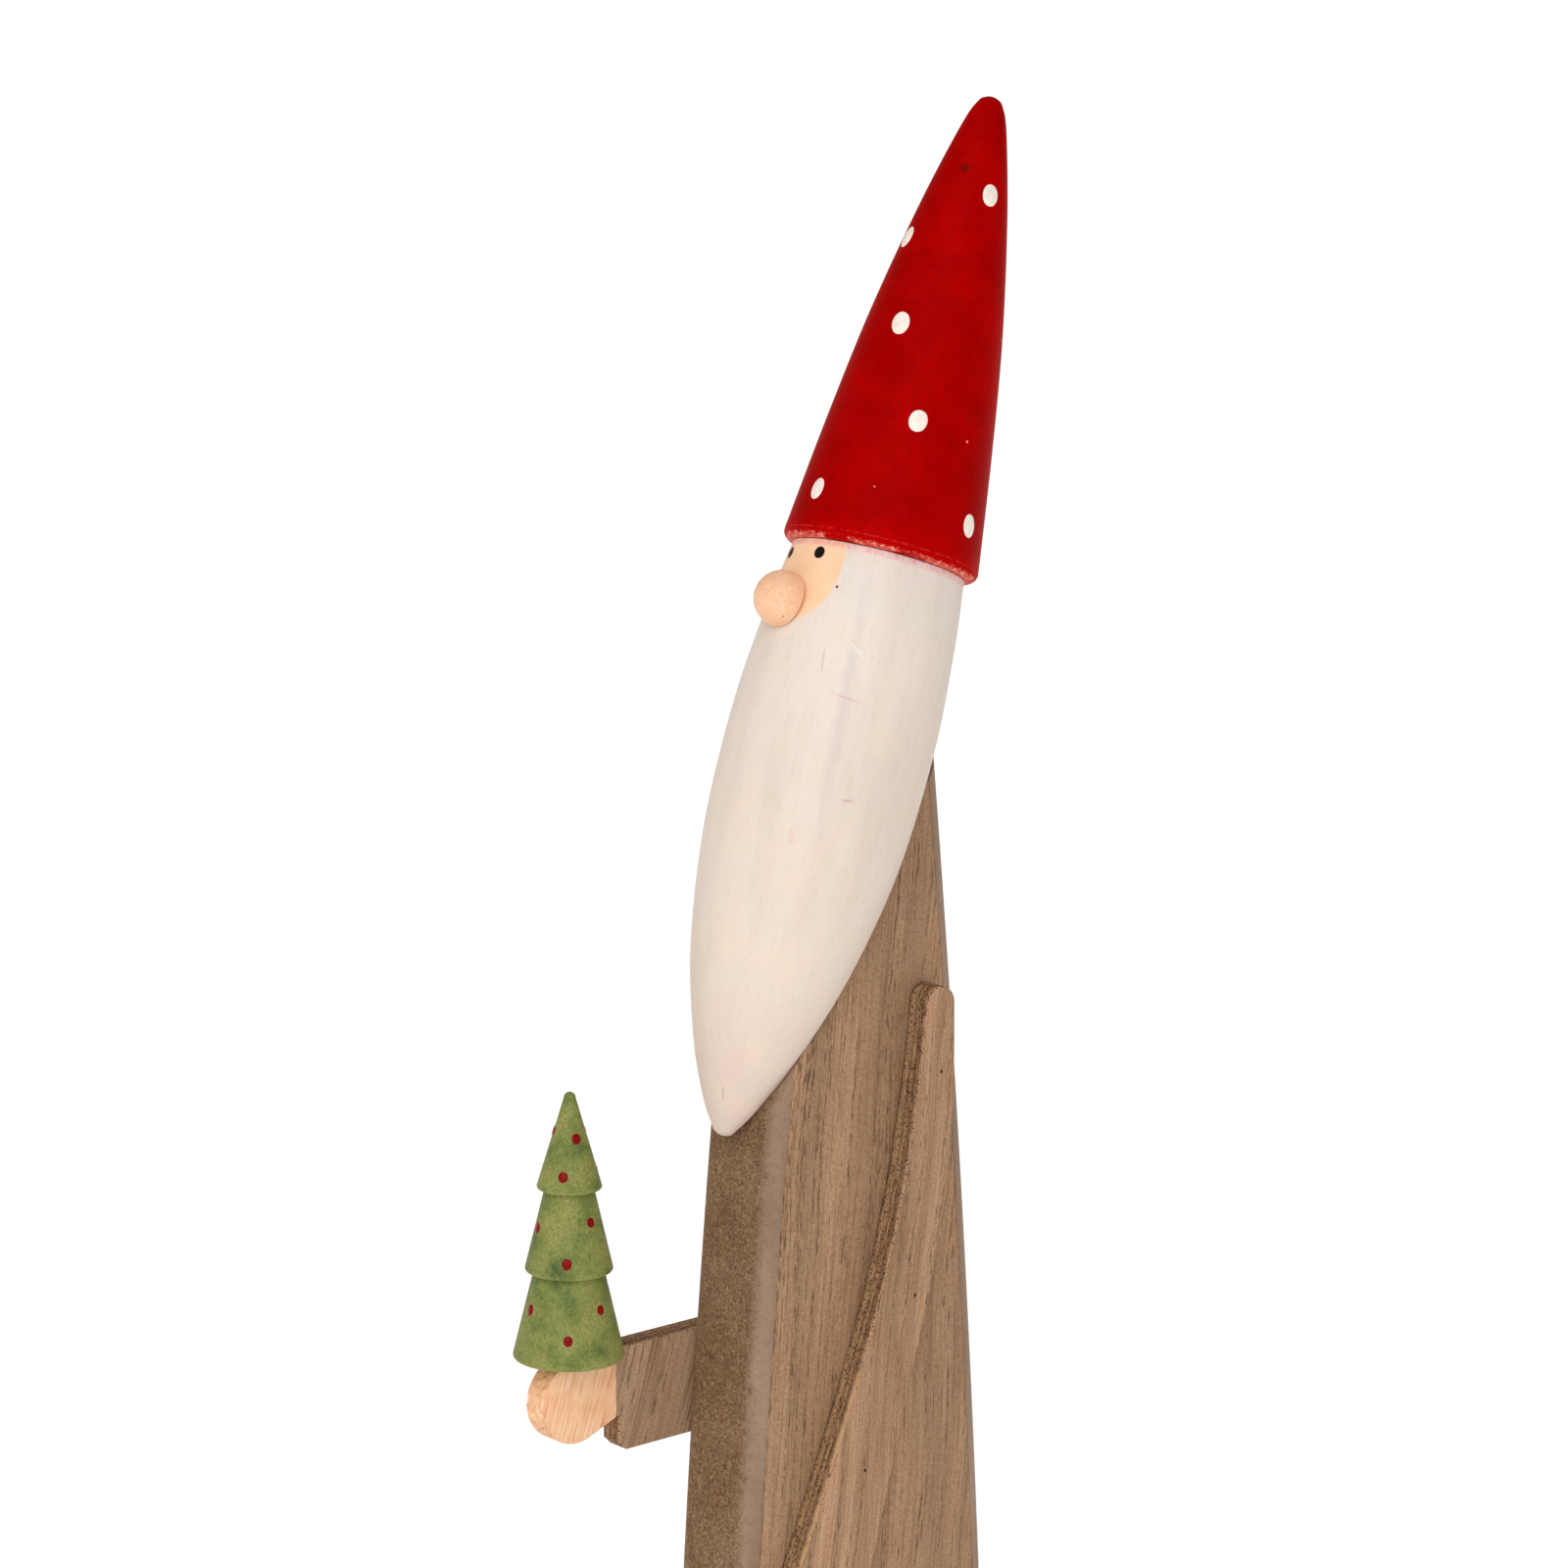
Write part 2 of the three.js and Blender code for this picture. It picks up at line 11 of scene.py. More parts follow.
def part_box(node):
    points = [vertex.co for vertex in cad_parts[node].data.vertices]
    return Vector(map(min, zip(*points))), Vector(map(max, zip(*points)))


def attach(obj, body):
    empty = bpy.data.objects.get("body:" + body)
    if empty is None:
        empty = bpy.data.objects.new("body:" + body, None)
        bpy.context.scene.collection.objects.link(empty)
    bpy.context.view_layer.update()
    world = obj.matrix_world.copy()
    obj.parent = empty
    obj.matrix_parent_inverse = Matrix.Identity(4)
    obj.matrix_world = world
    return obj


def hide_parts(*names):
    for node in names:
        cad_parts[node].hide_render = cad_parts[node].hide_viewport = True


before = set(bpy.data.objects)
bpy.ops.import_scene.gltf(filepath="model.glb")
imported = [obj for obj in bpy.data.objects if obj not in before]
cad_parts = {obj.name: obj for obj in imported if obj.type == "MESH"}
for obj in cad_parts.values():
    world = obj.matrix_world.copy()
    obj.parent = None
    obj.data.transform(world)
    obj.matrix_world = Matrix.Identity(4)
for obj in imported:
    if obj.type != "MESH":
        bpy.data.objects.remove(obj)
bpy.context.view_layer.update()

mm = 0.001
slackAngle = radians(28)                                  # edges sharper than this stay crisp
same = 0.01 * mm                                          # places closer than this count as one


# Shared helpers for meshes

def smoothCurve(points, perSpan):                         # an even spline through a few points
    spans = len(points) - 1
    made = []
    for step in range(spans * perSpan + 1):
        span = min(step // perSpan, spans - 1)
        t = step / perSpan - span
        a, b, c, d = (Vector(points[min(max(span + k, 0), spans)]) for k in (-1, 0, 1, 2))
        into, away = (c - a) / 2, (d - b) / 2
        made.append((2 * b - 2 * c + into + away) * t ** 3
                    + (3 * c - 3 * b - 2 * into - away) * t * t + into * t + b)
    return made


def bentLine(start, corner, end, steps=14):               # a curve pulled towards one corner
    a, b, c = Vector(start), Vector(corner), Vector(end)
    shares = [i / steps for i in range(1, steps + 1)]
    return [a * (1 - t) ** 2 + b * 2 * t * (1 - t) + c * t * t for t in shares]


def roundEnd(centre, radius, first, last, steps=18):      # an arc, angles in radians
    turns = [first + (last - first) * i / steps for i in range(steps + 1)]
    return [Vector((centre[0] + radius * cos(t), centre[1] + radius * sin(t))) for t in turns]


def addObject(name, data):
    made = bpy.data.objects.new(name, data)
    bpy.context.scene.collection.objects.link(made)
    return made


def makePiece(bm, name, materials, body="root"):
    mesh = bpy.data.meshes.new(name)
    for face in bm.faces:
        face.smooth = True
    bm.to_mesh(mesh)
    bm.free()
    for material in materials:
        mesh.materials.append(material)
    mesh.set_sharp_from_angle(angle=slackAngle)
    piece = addObject(name, mesh)
    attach(piece, body)
    return piece


def turnProfile(profile, steps):                          # (radius, height) pairs spun round +Z
    bm = bmesh.new()
    verts = [bm.verts.new((max(r, 0) * mm, 0, h * mm)) for r, h in profile]
    edges = [bm.edges.new(pair) for pair in zip(verts, verts[1:])]
    bmesh.ops.spin(bm, geom=verts + edges, cent=(0, 0, 0), axis=(0, 0, 1), angle=2 * pi, steps=steps,
                   use_merge=True)
    bmesh.ops.remove_doubles(bm, verts=bm.verts, dist=0.002 * mm)
    bmesh.ops.recalc_face_normals(bm, faces=bm.faces)
    return bm


def cutFlat(bm, point, outward, closed=True):             # saws off what lies past a plane
    geom = bm.verts[:] + bm.edges[:] + bm.faces[:]
    cut = bmesh.ops.bisect_plane(bm, geom=geom, dist=0.001 * mm, plane_co=point, plane_no=outward,
                                 clear_outer=closed)
    edges = [e for e in cut["geom_cut"] if isinstance(e, bmesh.types.BMEdge)]
    if closed:
        bmesh.ops.edgeloop_fill(bm, edges=edges)


def growFace(bm, corners, along):                         # a flat face drawn out into a solid
    face = bm.faces.new([bm.verts.new(corner) for corner in corners])
    walls = bmesh.ops.extrude_face_region(bm, geom=[face])
    raised = [v for v in walls["geom"] if isinstance(v, bmesh.types.BMVert)]
    bmesh.ops.translate(bm, verts=raised, vec=along)
    bmesh.ops.recalc_face_normals(bm, faces=bm.faces)


def roundEdges(bm, edges, radius, segments):
    return bmesh.ops.bevel(bm, geom=edges, offset=radius * mm, offset_type="OFFSET", affect="EDGES",
                           segments=segments, profile=0.5, material=-1, clamp_overlap=True)


def cutBoard(outline, low, high, rounding, segments=4):   # an outline in Y and Z given a thickness in X
    bm = bmesh.new()
    growFace(bm, [(low * mm, p[0] * mm, p[1] * mm) for p in outline], ((high - low) * mm, 0, 0))
    for f in bm.faces:
        f.material_index = 0 if abs(f.normal.x) > 0.9 else 1
    if rounding:
        rims = [e for e in bm.edges if abs(e.verts[0].co.x - e.verts[1].co.x) < same]
        for f in roundEdges(bm, rims, rounding, segments)["faces"]:
            f.material_index = 1
    return bm


def cutAway(piece, cutters):                              # takes the cutters' shapes out of a piece
    for cutter in cutters:
        hole = piece.modifiers.new("hole", "BOOLEAN")
        hole.operation = "DIFFERENCE"
        hole.solver = "EXACT"
        hole.material_mode = "TRANSFER"
        hole.object = cutter
    bpy.context.view_layer.update()
    seen = piece.evaluated_get(bpy.context.evaluated_depsgraph_get())
    old, mesh = piece.data, bpy.data.meshes.new_from_object(seen)
    piece.modifiers.clear()
    piece.data = mesh
    mesh.name = old.name
    bpy.data.meshes.remove(old)
    for cutter in cutters:
        bpy.data.meshes.remove(cutter.data)
    return piece


def looseDrill(bm, materials):                            # a cutter that isn't part of the object
    mesh = bpy.data.meshes.new("drill")
    bm.to_mesh(mesh)
    bm.free()
    for material in materials:
        mesh.materials.append(material)
    return addObject("drill", mesh)


def surfaceFrame(tree, start, reach, up):                 # where a ray from start meets a surface
    place, normal, _, _ = tree.ray_cast(start, reach)
    if normal.dot(reach) < 0:
        normal = -normal
    side = up.cross(normal).normalized()
    rise = normal.cross(side)
    turn = Matrix((side, rise, normal)).transposed()
    return Matrix.Translation(place) @ turn.to_4x4()


def addDrop(bm, place, wide, tall, rise, sink):           # a drop of thick paint that stands off a surface
    grow = 1 / sqrt(1 - (sink / (rise + sink)) ** 2)
    size = Matrix.Diagonal((wide / 2 * grow * mm, tall / 2 * grow * mm, (rise + sink) * mm, 1))
    bmesh.ops.create_uvsphere(bm, u_segments=28, v_segments=14, radius=1,
                              matrix=place @ Matrix.Translation((0, 0, -sink * mm)) @ size)


# Shared helpers for materials

def hexColour(code):                                      # sRGB hex to linear RGBA
    shares = [int(code[i:i + 2], 16) / 255 for i in (1, 3, 5)]
    return (*(c / 12.92 if c < 0.04045 else ((c + 0.055) / 1.055) ** 2.4 for c in shares), 1)


def addNode(tree, kind, settings=None, links=None):       # one node with its settings and what feeds it
    made = tree.nodes.new("ShaderNode" + kind)
    for key, value in (settings or {}).items():
        if key == "stops":
            ramp = made.color_ramp
            while len(ramp.elements) < len(value):
                ramp.elements.new(1)
            for element, (place, code) in zip(ramp.elements, value):
                element.position = place
                element.color = hexColour(code)
        elif isinstance(key, int) or key in made.inputs:
            made.inputs[key].default_value = value
        else:
            setattr(made, key, value)
    for key, source in (links or {}).items():
        tree.links.new(source, made.inputs[key])
    return made


def startMaterial(name):                                  # with the place on the object that patterns use
    material = bpy.data.materials.new(name)
    material.use_nodes = True
    tree = material.node_tree
    tree.nodes.clear()
    return material, tree, addNode(tree, "TexCoord").outputs["Object"]


darken = {"data_type": "RGBA", "blend_type": "MULTIPLY", 0: 1.0}    # the settings of a full multiply


def finishMaterial(tree, settings, links):
    shader = addNode(tree, "BsdfPrincipled", settings, links)
    addNode(tree, "OutputMaterial", None, {"Surface": shader.outputs["BSDF"]})


# Places worked out from the frame

slabLook = {
    "frontLean": 0.0033, "frontBow": 1.18e-4,             # the edges' lean and bow, per mm and per mm squared
    "backLean": -0.0163, "backBow": -8.3e-5,
    "rounding": 6, "seatAngle": radians(33),
    "veneer": 0.7, "veneerEdge": 0.12, "joint": 0.12,     # joint is the hairline round each veneer
}
coreLow, coreHigh = (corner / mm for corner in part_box("body_core"))


def frontY(z):
    bow = slabLook["frontBow"] * (z * z - coreLow.z ** 2)
    return coreLow.y + slabLook["frontLean"] * (z - coreLow.z) + bow


def backY(z):
    bow = slabLook["backBow"] * (z * z - coreLow.z ** 2)
    return coreHigh.y + slabLook["backLean"] * (z - coreLow.z) + bow


def seatLine():                                           # where the sloping seat leaves the front edge
    z = coreHigh.z
    for _ in range(40):
        z = coreHigh.z - (backY(coreHigh.z) - frontY(z)) / tan(slabLook["seatAngle"])
    return Vector((0, frontY(z), z))


seat = seatLine()
seatNormal = Vector((0, -cos(slabLook["seatAngle"]), sin(slabLook["seatAngle"])))

headLook = {
    "tilt": radians(20.2), "proud": 7.9, "drop": 10.1,    # the tip, from the seat's lower edge
    "length": 197.1, "radius": 34.4,
    "shape": [(0, 0), (0.076, 0.004), (0.134, 0.015), (0.3, 0.061), (0.532, 0.152), (0.794, 0.304),
              (0.968, 0.507), (1, 0.715), (0.93, 0.888), (0.849, 1), (0.814, 1.045)],
    "steps": 144,
}
hatLook = {
    "tilt": radians(18.1), "length": 158.9, "overhang": 3.9, "rounding": 3, "glue": 0.3,
    "riseLeft": 0.066, "riseFront": 0.061,                # how the rim climbs to the left and the front
    "shape": [(1, 0.02), (0.855, 0.263), (0.682, 0.507), (0.45, 0.75), (0.234, 0.929), (0.13, 0.984),
              (0.06, 0.997), (0, 1)],
    "steps": 144,
}
headPlace = (Matrix.Translation((seat + Vector((0, -headLook["proud"], -headLook["drop"]))) * mm)
             @ Matrix.Rotation(-headLook["tilt"], 4, "X"))
hatPlace = (headPlace @ Matrix.Translation((0, 0, headLook["length"] * mm))
            @ Matrix.Rotation(headLook["tilt"] - hatLook["tilt"], 4, "X"))
rimNormal = Vector((-hatLook["riseLeft"], hatLook["riseFront"], 1)).normalized()
beardCurve = smoothCurve([(r * headLook["radius"], h * headLook["length"]) for r, h in headLook["shape"]], 9)


def beardRadius(height):
    for low, high in zip(beardCurve, beardCurve[1:]):
        if high.y >= height:
            return low.x + (high.x - low.x) * (height - low.y) / (high.y - low.y)


def headRay(place, height, turn):                         # from the axis outwards, turned to the left
    out = Vector((sin(turn), -cos(turn), 0))
    return place @ Vector((0, 0, height * mm)), (place.to_3x3() @ out).normalized()


# Materials

def fibreboard(name, band):
    # medium-density fibreboard under thin grey-brown stain, sawn: fine felted fibres, pale hairs and a few
    # scratches; the rounded long edges are sanded smooth and greyer, and their lighter tone is partly a
    # painted highlight where the rounding catches the light
    material, tree, place = startMaterial(name)
    felt = addNode(tree, "TexNoise", {"Scale": 1 / (0.9 * mm), "Detail": 4, "Roughness": 0.75},
                   {"Vector": place})
    cloud = addNode(tree, "TexNoise", {"Scale": 1 / (28 * mm), "Detail": 3}, {"Vector": place})
    lines = []                                            # pale lines where a noise passes its middle
    for size, width, spread, low in ((1.5, 0.06, 2.2, 0.48), (34, 0.006, 18, 0.6)):
        swirl = addNode(tree, "TexNoise", {"Scale": 1 / (size * mm), "Detail": 2, "Distortion": 1.6},
                        {"Vector": place})
        off = addNode(tree, "Math", {"operation": "SUBTRACT", 1: 0.5}, {0: swirl.outputs[0]})
        near = addNode(tree, "Math", {"operation": "ABSOLUTE"}, {0: off.outputs[0]})
        line = addNode(tree, "MapRange", {"From Min": width, "From Max": 0.3 * width},
                       {"Value": near.outputs[0]})
        patch = addNode(tree, "TexNoise", {"Scale": 1 / (spread * mm)}, {"Vector": place})
        sparse = addNode(tree, "MapRange", {"From Min": low, "From Max": low + 0.1},
                         {"Value": patch.outputs[0]})
        lines.append(addNode(tree, "Math", {"operation": "MULTIPLY"},
                             {0: line.outputs[0], 1: sparse.outputs[0]}))
    thread = addNode(tree, "Math", {"operation": "MAXIMUM"}, {0: lines[0].outputs[0], 1: lines[1].outputs[0]})
    sawn = addNode(tree, "ValToRGB", {"stops": [(0.34, "#4d3826"), (0.46, "#745941"), (0.54, "#84674b"),
                                                (0.68, "#ac906d")]}, {"Fac": felt.outputs[0]})
    tone = addNode(tree, "ValToRGB", {"stops": [(0.3, "#dccfc2"), (0.7, "#ffffff")]},
                   {"Fac": cloud.outputs[0]})
    toned = addNode(tree, "Mix", darken,
                    {6: sawn.outputs[0], 7: tone.outputs[0]})
    faint = addNode(tree, "Math", {"operation": "MULTIPLY", 1: 0.55}, {0: thread.outputs[0]})
    hair = addNode(tree, "Mix", {"data_type": "RGBA", 7: hexColour("#ac9069")},
                   {0: faint.outputs[0], 6: toned.outputs[2]})
    drawn = addNode(tree, "Mapping", {"vector_type": "TEXTURE", "Scale": (9 * mm, 9 * mm, 60 * mm)},
                    {"Vector": place})
    streak = addNode(tree, "TexNoise", {"Scale": 1, "Detail": 3}, {"Vector": drawn.outputs[0]})
    # the rounded edges' lighter tone: sanded fibreboard, and partly a painted highlight on the rounding
    rubbed = addNode(tree, "ValToRGB", {"stops": [(0.3, "#876d58"), (0.7, "#9a806b")]},
                     {"Fac": streak.outputs[0]})
    across = addNode(tree, "SeparateXYZ", None, {0: place})
    leftward = addNode(tree, "Math", {"operation": "ADD", 1: 0.5 * mm}, {0: across.outputs["X"]})
    distance = addNode(tree, "Math", {"operation": "ABSOLUTE"}, {0: leftward.outputs[0]})
    fringe = addNode(tree, "TexNoise", {"Scale": 1 / (2.8 * mm), "Detail": 5, "Roughness": 0.75},
                     {"Vector": place})
    ragged = addNode(tree, "Math", {"operation": "MULTIPLY_ADD", 1: 11 * mm}, {
        0: fringe.outputs[0], 2: distance.outputs[0]})
    edge = addNode(tree, "MapRange", {"From Min": band["from"] * mm, "From Max": band["full"] * mm},
                   {"Value": ragged.outputs[0]})
    colour = addNode(tree, "Mix", {"data_type": "RGBA"},
                     {0: edge.outputs[0], 6: hair.outputs[2], 7: rubbed.outputs[0]})
    smoother = addNode(tree, "MapRange", {"To Min": 1, "To Max": 0.15}, {"Value": edge.outputs[0]})
    relief = addNode(tree, "Math", {"operation": "MULTIPLY_ADD"}, {
        0: felt.outputs[0], 1: smoother.outputs[0], 2: thread.outputs[0]})
    bump = addNode(tree, "Bump", {"Strength": 0.7, "Distance": 0.12 * mm}, {"Height": relief.outputs[0]})
    rough = addNode(tree, "MapRange", {"To Min": 0.92, "To Max": 0.55}, {"Value": edge.outputs[0]})
    finishMaterial(tree, {"Specular IOR Level": 0.3}, {
        "Base Color": colour.outputs[2], "Roughness": rough.outputs[0], "Normal": bump.outputs[0]})
    return material


def openVeneer(name, lean, tones, seed):
    # open-pored hardwood veneer under the same stain, matt: soft tone bands along the grain, fine fibre
    # lines, and dark open pores that stand in long broken rows
    material, tree, place = startMaterial(name)
    sway = addNode(tree, "TexNoise", {"Scale": 1 / (120 * mm), "Detail": 1}, {"Vector": place})
    swayed = addNode(tree, "VectorMath", {"operation": "MULTIPLY_ADD", 1: (0, 14 * mm, 0)},
                     {0: sway.outputs["Color"], 2: place})
    grain = {}
    for word, wide, tall, detail in (("band", 8, 170, 2), ("fibre", 0.6, 24, 3), ("pore", 0.42, 5, 1),
                                     ("row", 2, 240, 1)):
        drawn = addNode(tree, "Mapping", {
            "vector_type": "TEXTURE", "Rotation": (lean, 0, 0), "Location": (seed, wide * 0.37, 0),
            "Scale": (4 * wide * mm, wide * mm, tall * mm)}, {"Vector": swayed.outputs[0]})
        made = addNode(tree, "TexNoise", {"Scale": 1, "Detail": detail}, {"Vector": drawn.outputs[0]})
        grain[word] = made.outputs[0]
    base = addNode(tree, "ValToRGB", {"stops": [(0.3, tones[0]), (0.5, tones[1]), (0.7, tones[2])]},
                   {"Fac": grain["band"]})
    lines = addNode(tree, "ValToRGB", {"stops": [(0.25, "#c9b9a9"), (0.48, "#f1eae4"), (0.7, "#ffffff")]},
                    {"Fac": grain["fibre"]})
    lined = addNode(tree, "Mix", darken,
                    {6: base.outputs[0], 7: lines.outputs[0]})
    clump = addNode(tree, "MapRange", {"From Min": 0.5, "From Max": 0.62, "To Min": 0.0, "To Max": 0.24},
                    {"Value": grain["row"]})
    opened = addNode(tree, "Math", {"operation": "ADD"}, {0: grain["pore"], 1: clump.outputs[0]})
    hole = addNode(tree, "MapRange", {"From Min": 0.75, "From Max": 0.86}, {"Value": opened.outputs[0]})
    shade = addNode(tree, "Math", {"operation": "MULTIPLY", 1: 0.75}, {0: hole.outputs[0]})
    colour = addNode(tree, "Mix", {"data_type": "RGBA", 7: hexColour(tones[3])},
                     {0: shade.outputs[0], 6: lined.outputs[2]})
    dust = addNode(tree, "TexNoise", {"Scale": 1 / (0.8 * mm), "Detail": 2}, {"Vector": place})
    grit = addNode(tree, "ValToRGB", {"stops": [(0.3, "#e0d6cb"), (0.6, "#ffffff")]},
                   {"Fac": dust.outputs[0]})
    dusted = addNode(tree, "Mix", darken,
                     {6: colour.outputs[2], 7: grit.outputs[0]})
    height = addNode(tree, "Math", {"operation": "MULTIPLY_ADD", 1: -1.4},
                     {0: hole.outputs[0], 2: grain["fibre"]})
    bump = addNode(tree, "Bump", {"Strength": 0.6, "Distance": 0.07 * mm}, {"Height": height.outputs[0]})
    rough = addNode(tree, "MapRange", {"To Min": 0.66, "To Max": 0.82}, {"Value": grain["fibre"]})
    finishMaterial(tree, {"Specular IOR Level": 0.3}, {
        "Base Color": dusted.outputs[2], "Roughness": rough.outputs[0], "Normal": bump.outputs[0]})
    return material


def plyEdge(name, low, thickness, worn):
    # the sawn edge of five-ply board: long-grain plies are lighter, end-grain plies dark and pitted, with
    # painted shade along the side that meets the body; low down on the outer corner the stain is rubbed
    # through to light wood
    material, tree, place = startMaterial(name)
    waver = addNode(tree, "TexNoise", {"Scale": 1 / (14 * mm), "Detail": 2}, {"Vector": place})
    swayed = addNode(tree, "VectorMath", {"operation": "MULTIPLY_ADD", 1: (1.6 * mm, 0, 0)},
                     {0: waver.outputs["Color"], 2: place})
    split = addNode(tree, "SeparateXYZ", None, {0: swayed.outputs[0]})
    share = addNode(tree, "MapRange",
                    {"From Min": (low + 0.8) * mm, "From Max": (low + thickness + 0.8) * mm},
                    {"Value": split.outputs["X"]})
    # the darkest stop, along the edge's low-X side, is painted shade for the gap where the arm meets the
    # body; all the ply tones are also set lighter, as painted light that makes up for the shade the
    # downward-facing edge gets
    plies = addNode(tree, "ValToRGB", {"stops": [
        (0.0, "#3d2a1b"), (0.05, "#8d7056"), (0.18, "#b3926f"), (0.32, "#ae8d6b"), (0.38, "#93755a"),
        (0.48, "#967a5e"), (0.54, "#b3926f"), (0.64, "#8a6c52"), (0.84, "#8c6f55"), (0.92, "#b8977a")]},
        {"Fac": share.outputs[0]})
    drawn = addNode(tree, "Mapping", {"vector_type": "TEXTURE", "Scale": (0.6 * mm, 3 * mm, 7 * mm)},
                    {"Vector": place})
    thread = addNode(tree, "TexNoise", {"Scale": 1, "Detail": 4, "Roughness": 0.6},
                     {"Vector": drawn.outputs[0]})
    pits = addNode(tree, "TexNoise", {"Scale": 1 / (0.8 * mm), "Detail": 3}, {"Vector": place})
    mixed = addNode(tree, "ValToRGB", {"stops": [(0.32, "#a08e7d"), (0.5, "#eee4da"), (0.7, "#ffffff")]},
                    {"Fac": thread.outputs[0]})
    speck = addNode(tree, "ValToRGB", {"stops": [(0.36, "#8a7665"), (0.5, "#ffffff")]},
                    {"Fac": pits.outputs[0]})
    threaded = addNode(tree, "Mix", darken,
                       {6: plies.outputs[0], 7: mixed.outputs[0]})
    speckled = addNode(tree, "Mix", darken,
                       {6: threaded.outputs[2], 7: speck.outputs[0]})
    colour = speckled.outputs[2]
    if worn:
        bare = addNode(tree, "SeparateXYZ", None, {0: place})
        outer = addNode(tree, "MapRange", {"From Min": (low + thickness - worn["wide"]) * mm,
                                           "From Max": (low + thickness - 0.35 * worn["wide"]) * mm},
                        {"Value": bare.outputs["X"]})
        inner = addNode(tree, "MapRange", {"From Min": (low + thickness - 0.02) * mm,
                                           "From Max": (low + thickness - 0.25) * mm},
                        {"Value": bare.outputs["X"]})
        under = addNode(tree, "MapRange", {"From Min": worn["top"] * mm, "From Max": (worn["top"] - 22) * mm},
                        {"Value": bare.outputs["Z"]})
        over = addNode(tree, "MapRange",
                       {"From Min": worn["foot"] * mm, "From Max": (worn["foot"] + 12) * mm},
                       {"Value": bare.outputs["Z"]})
        chafe = addNode(tree, "TexNoise", {"Scale": 1 / (3.5 * mm), "Detail": 4}, {"Vector": place})
        ragged = addNode(tree, "MapRange", {"From Min": 0.3, "From Max": 0.5}, {"Value": chafe.outputs[0]})
        amount = outer.outputs[0]
        for part in (inner, under, over, ragged):
            amount = addNode(tree, "Math", {"operation": "MULTIPLY"},
                             {0: amount, 1: part.outputs[0]}).outputs[0]
        colour = addNode(tree, "Mix", {"data_type": "RGBA", 7: hexColour("#bd9870")},
                         {0: amount, 6: colour}).outputs[2]
    height = addNode(tree, "Math", {"operation": "ADD"}, {0: thread.outputs[0], 1: pits.outputs[0]})
    bump = addNode(tree, "Bump", {"Strength": 0.8, "Distance": 0.18 * mm}, {"Height": height.outputs[0]})
    finishMaterial(tree, {"Roughness": 0.88, "Specular IOR Level": 0.25}, {
        "Base Color": colour, "Normal": bump.outputs[0]})
    return material


def handPaint(name, lean, tones):
    # skin-coloured paint brushed thinly over plywood: the grain still stands up through it as fine ridges,
    # with a painted highlight on their tops and darker grooves between them, partly the grain showing through
    # and partly painted shade, and small chips show the stained wood
    material, tree, place = startMaterial(name)
    drawn = addNode(tree, "Mapping", {"vector_type": "TEXTURE", "Rotation": (lean, 0, 0),
                                      "Scale": (3 * mm, 0.62 * mm, 14 * mm)}, {"Vector": place})
    ridge = addNode(tree, "TexNoise", {"Scale": 1, "Detail": 2, "Roughness": 0.6},
                    {"Vector": drawn.outputs[0]})
    cloud = addNode(tree, "TexNoise", {"Scale": 1 / (7 * mm), "Detail": 3}, {"Vector": place})
    base = addNode(tree, "ValToRGB", {"stops": [(0.3, tones[0]), (0.5, tones[1]), (0.7, tones[2])]},
                   {"Fac": cloud.outputs[0]})
    # the darker grooves: the grain showing through the thin paint, and painted shade between the raised
    # ridges
    grooveShade = addNode(tree, "ValToRGB", {"stops": [(0.3, "#e6cdb8"), (0.5, "#ffffff")]},
                     {"Fac": ridge.outputs[0]})
    grooveShaded = addNode(tree, "Mix", darken,
                      {6: base.outputs[0], 7: grooveShade.outputs[0]})
    # painted highlight: a pale warm glint laid on the tops of the grain ridges
    ridgeHighlight = addNode(tree, "MapRange", {"From Min": 0.6, "From Max": 0.68, "To Max": 0.65},
                    {"Value": ridge.outputs[0]})
    lit = addNode(tree, "Mix", {"data_type": "RGBA", 7: hexColour("#ffe4c8")},
                  {0: ridgeHighlight.outputs[0], 6: grooveShaded.outputs[2]})
    fleck = addNode(tree, "TexNoise", {"Scale": 1 / (1.9 * mm), "Detail": 2}, {"Vector": place})
    bare = addNode(tree, "MapRange", {"From Min": tones[3], "From Max": tones[3] + 0.04, "To Max": 0.7},
                   {"Value": fleck.outputs[0]})
    colour = addNode(tree, "Mix", {"data_type": "RGBA", 7: hexColour("#9c7654")},
                     {0: bare.outputs[0], 6: lit.outputs[2]})
    bump = addNode(tree, "Bump", {"Strength": 0.8, "Distance": 0.16 * mm}, {"Height": ridge.outputs[0]})
    finishMaterial(tree, {"Roughness": 0.5, "Specular IOR Level": 0.35}, {
        "Base Color": colour.outputs[2], "Normal": bump.outputs[0]})
    return material


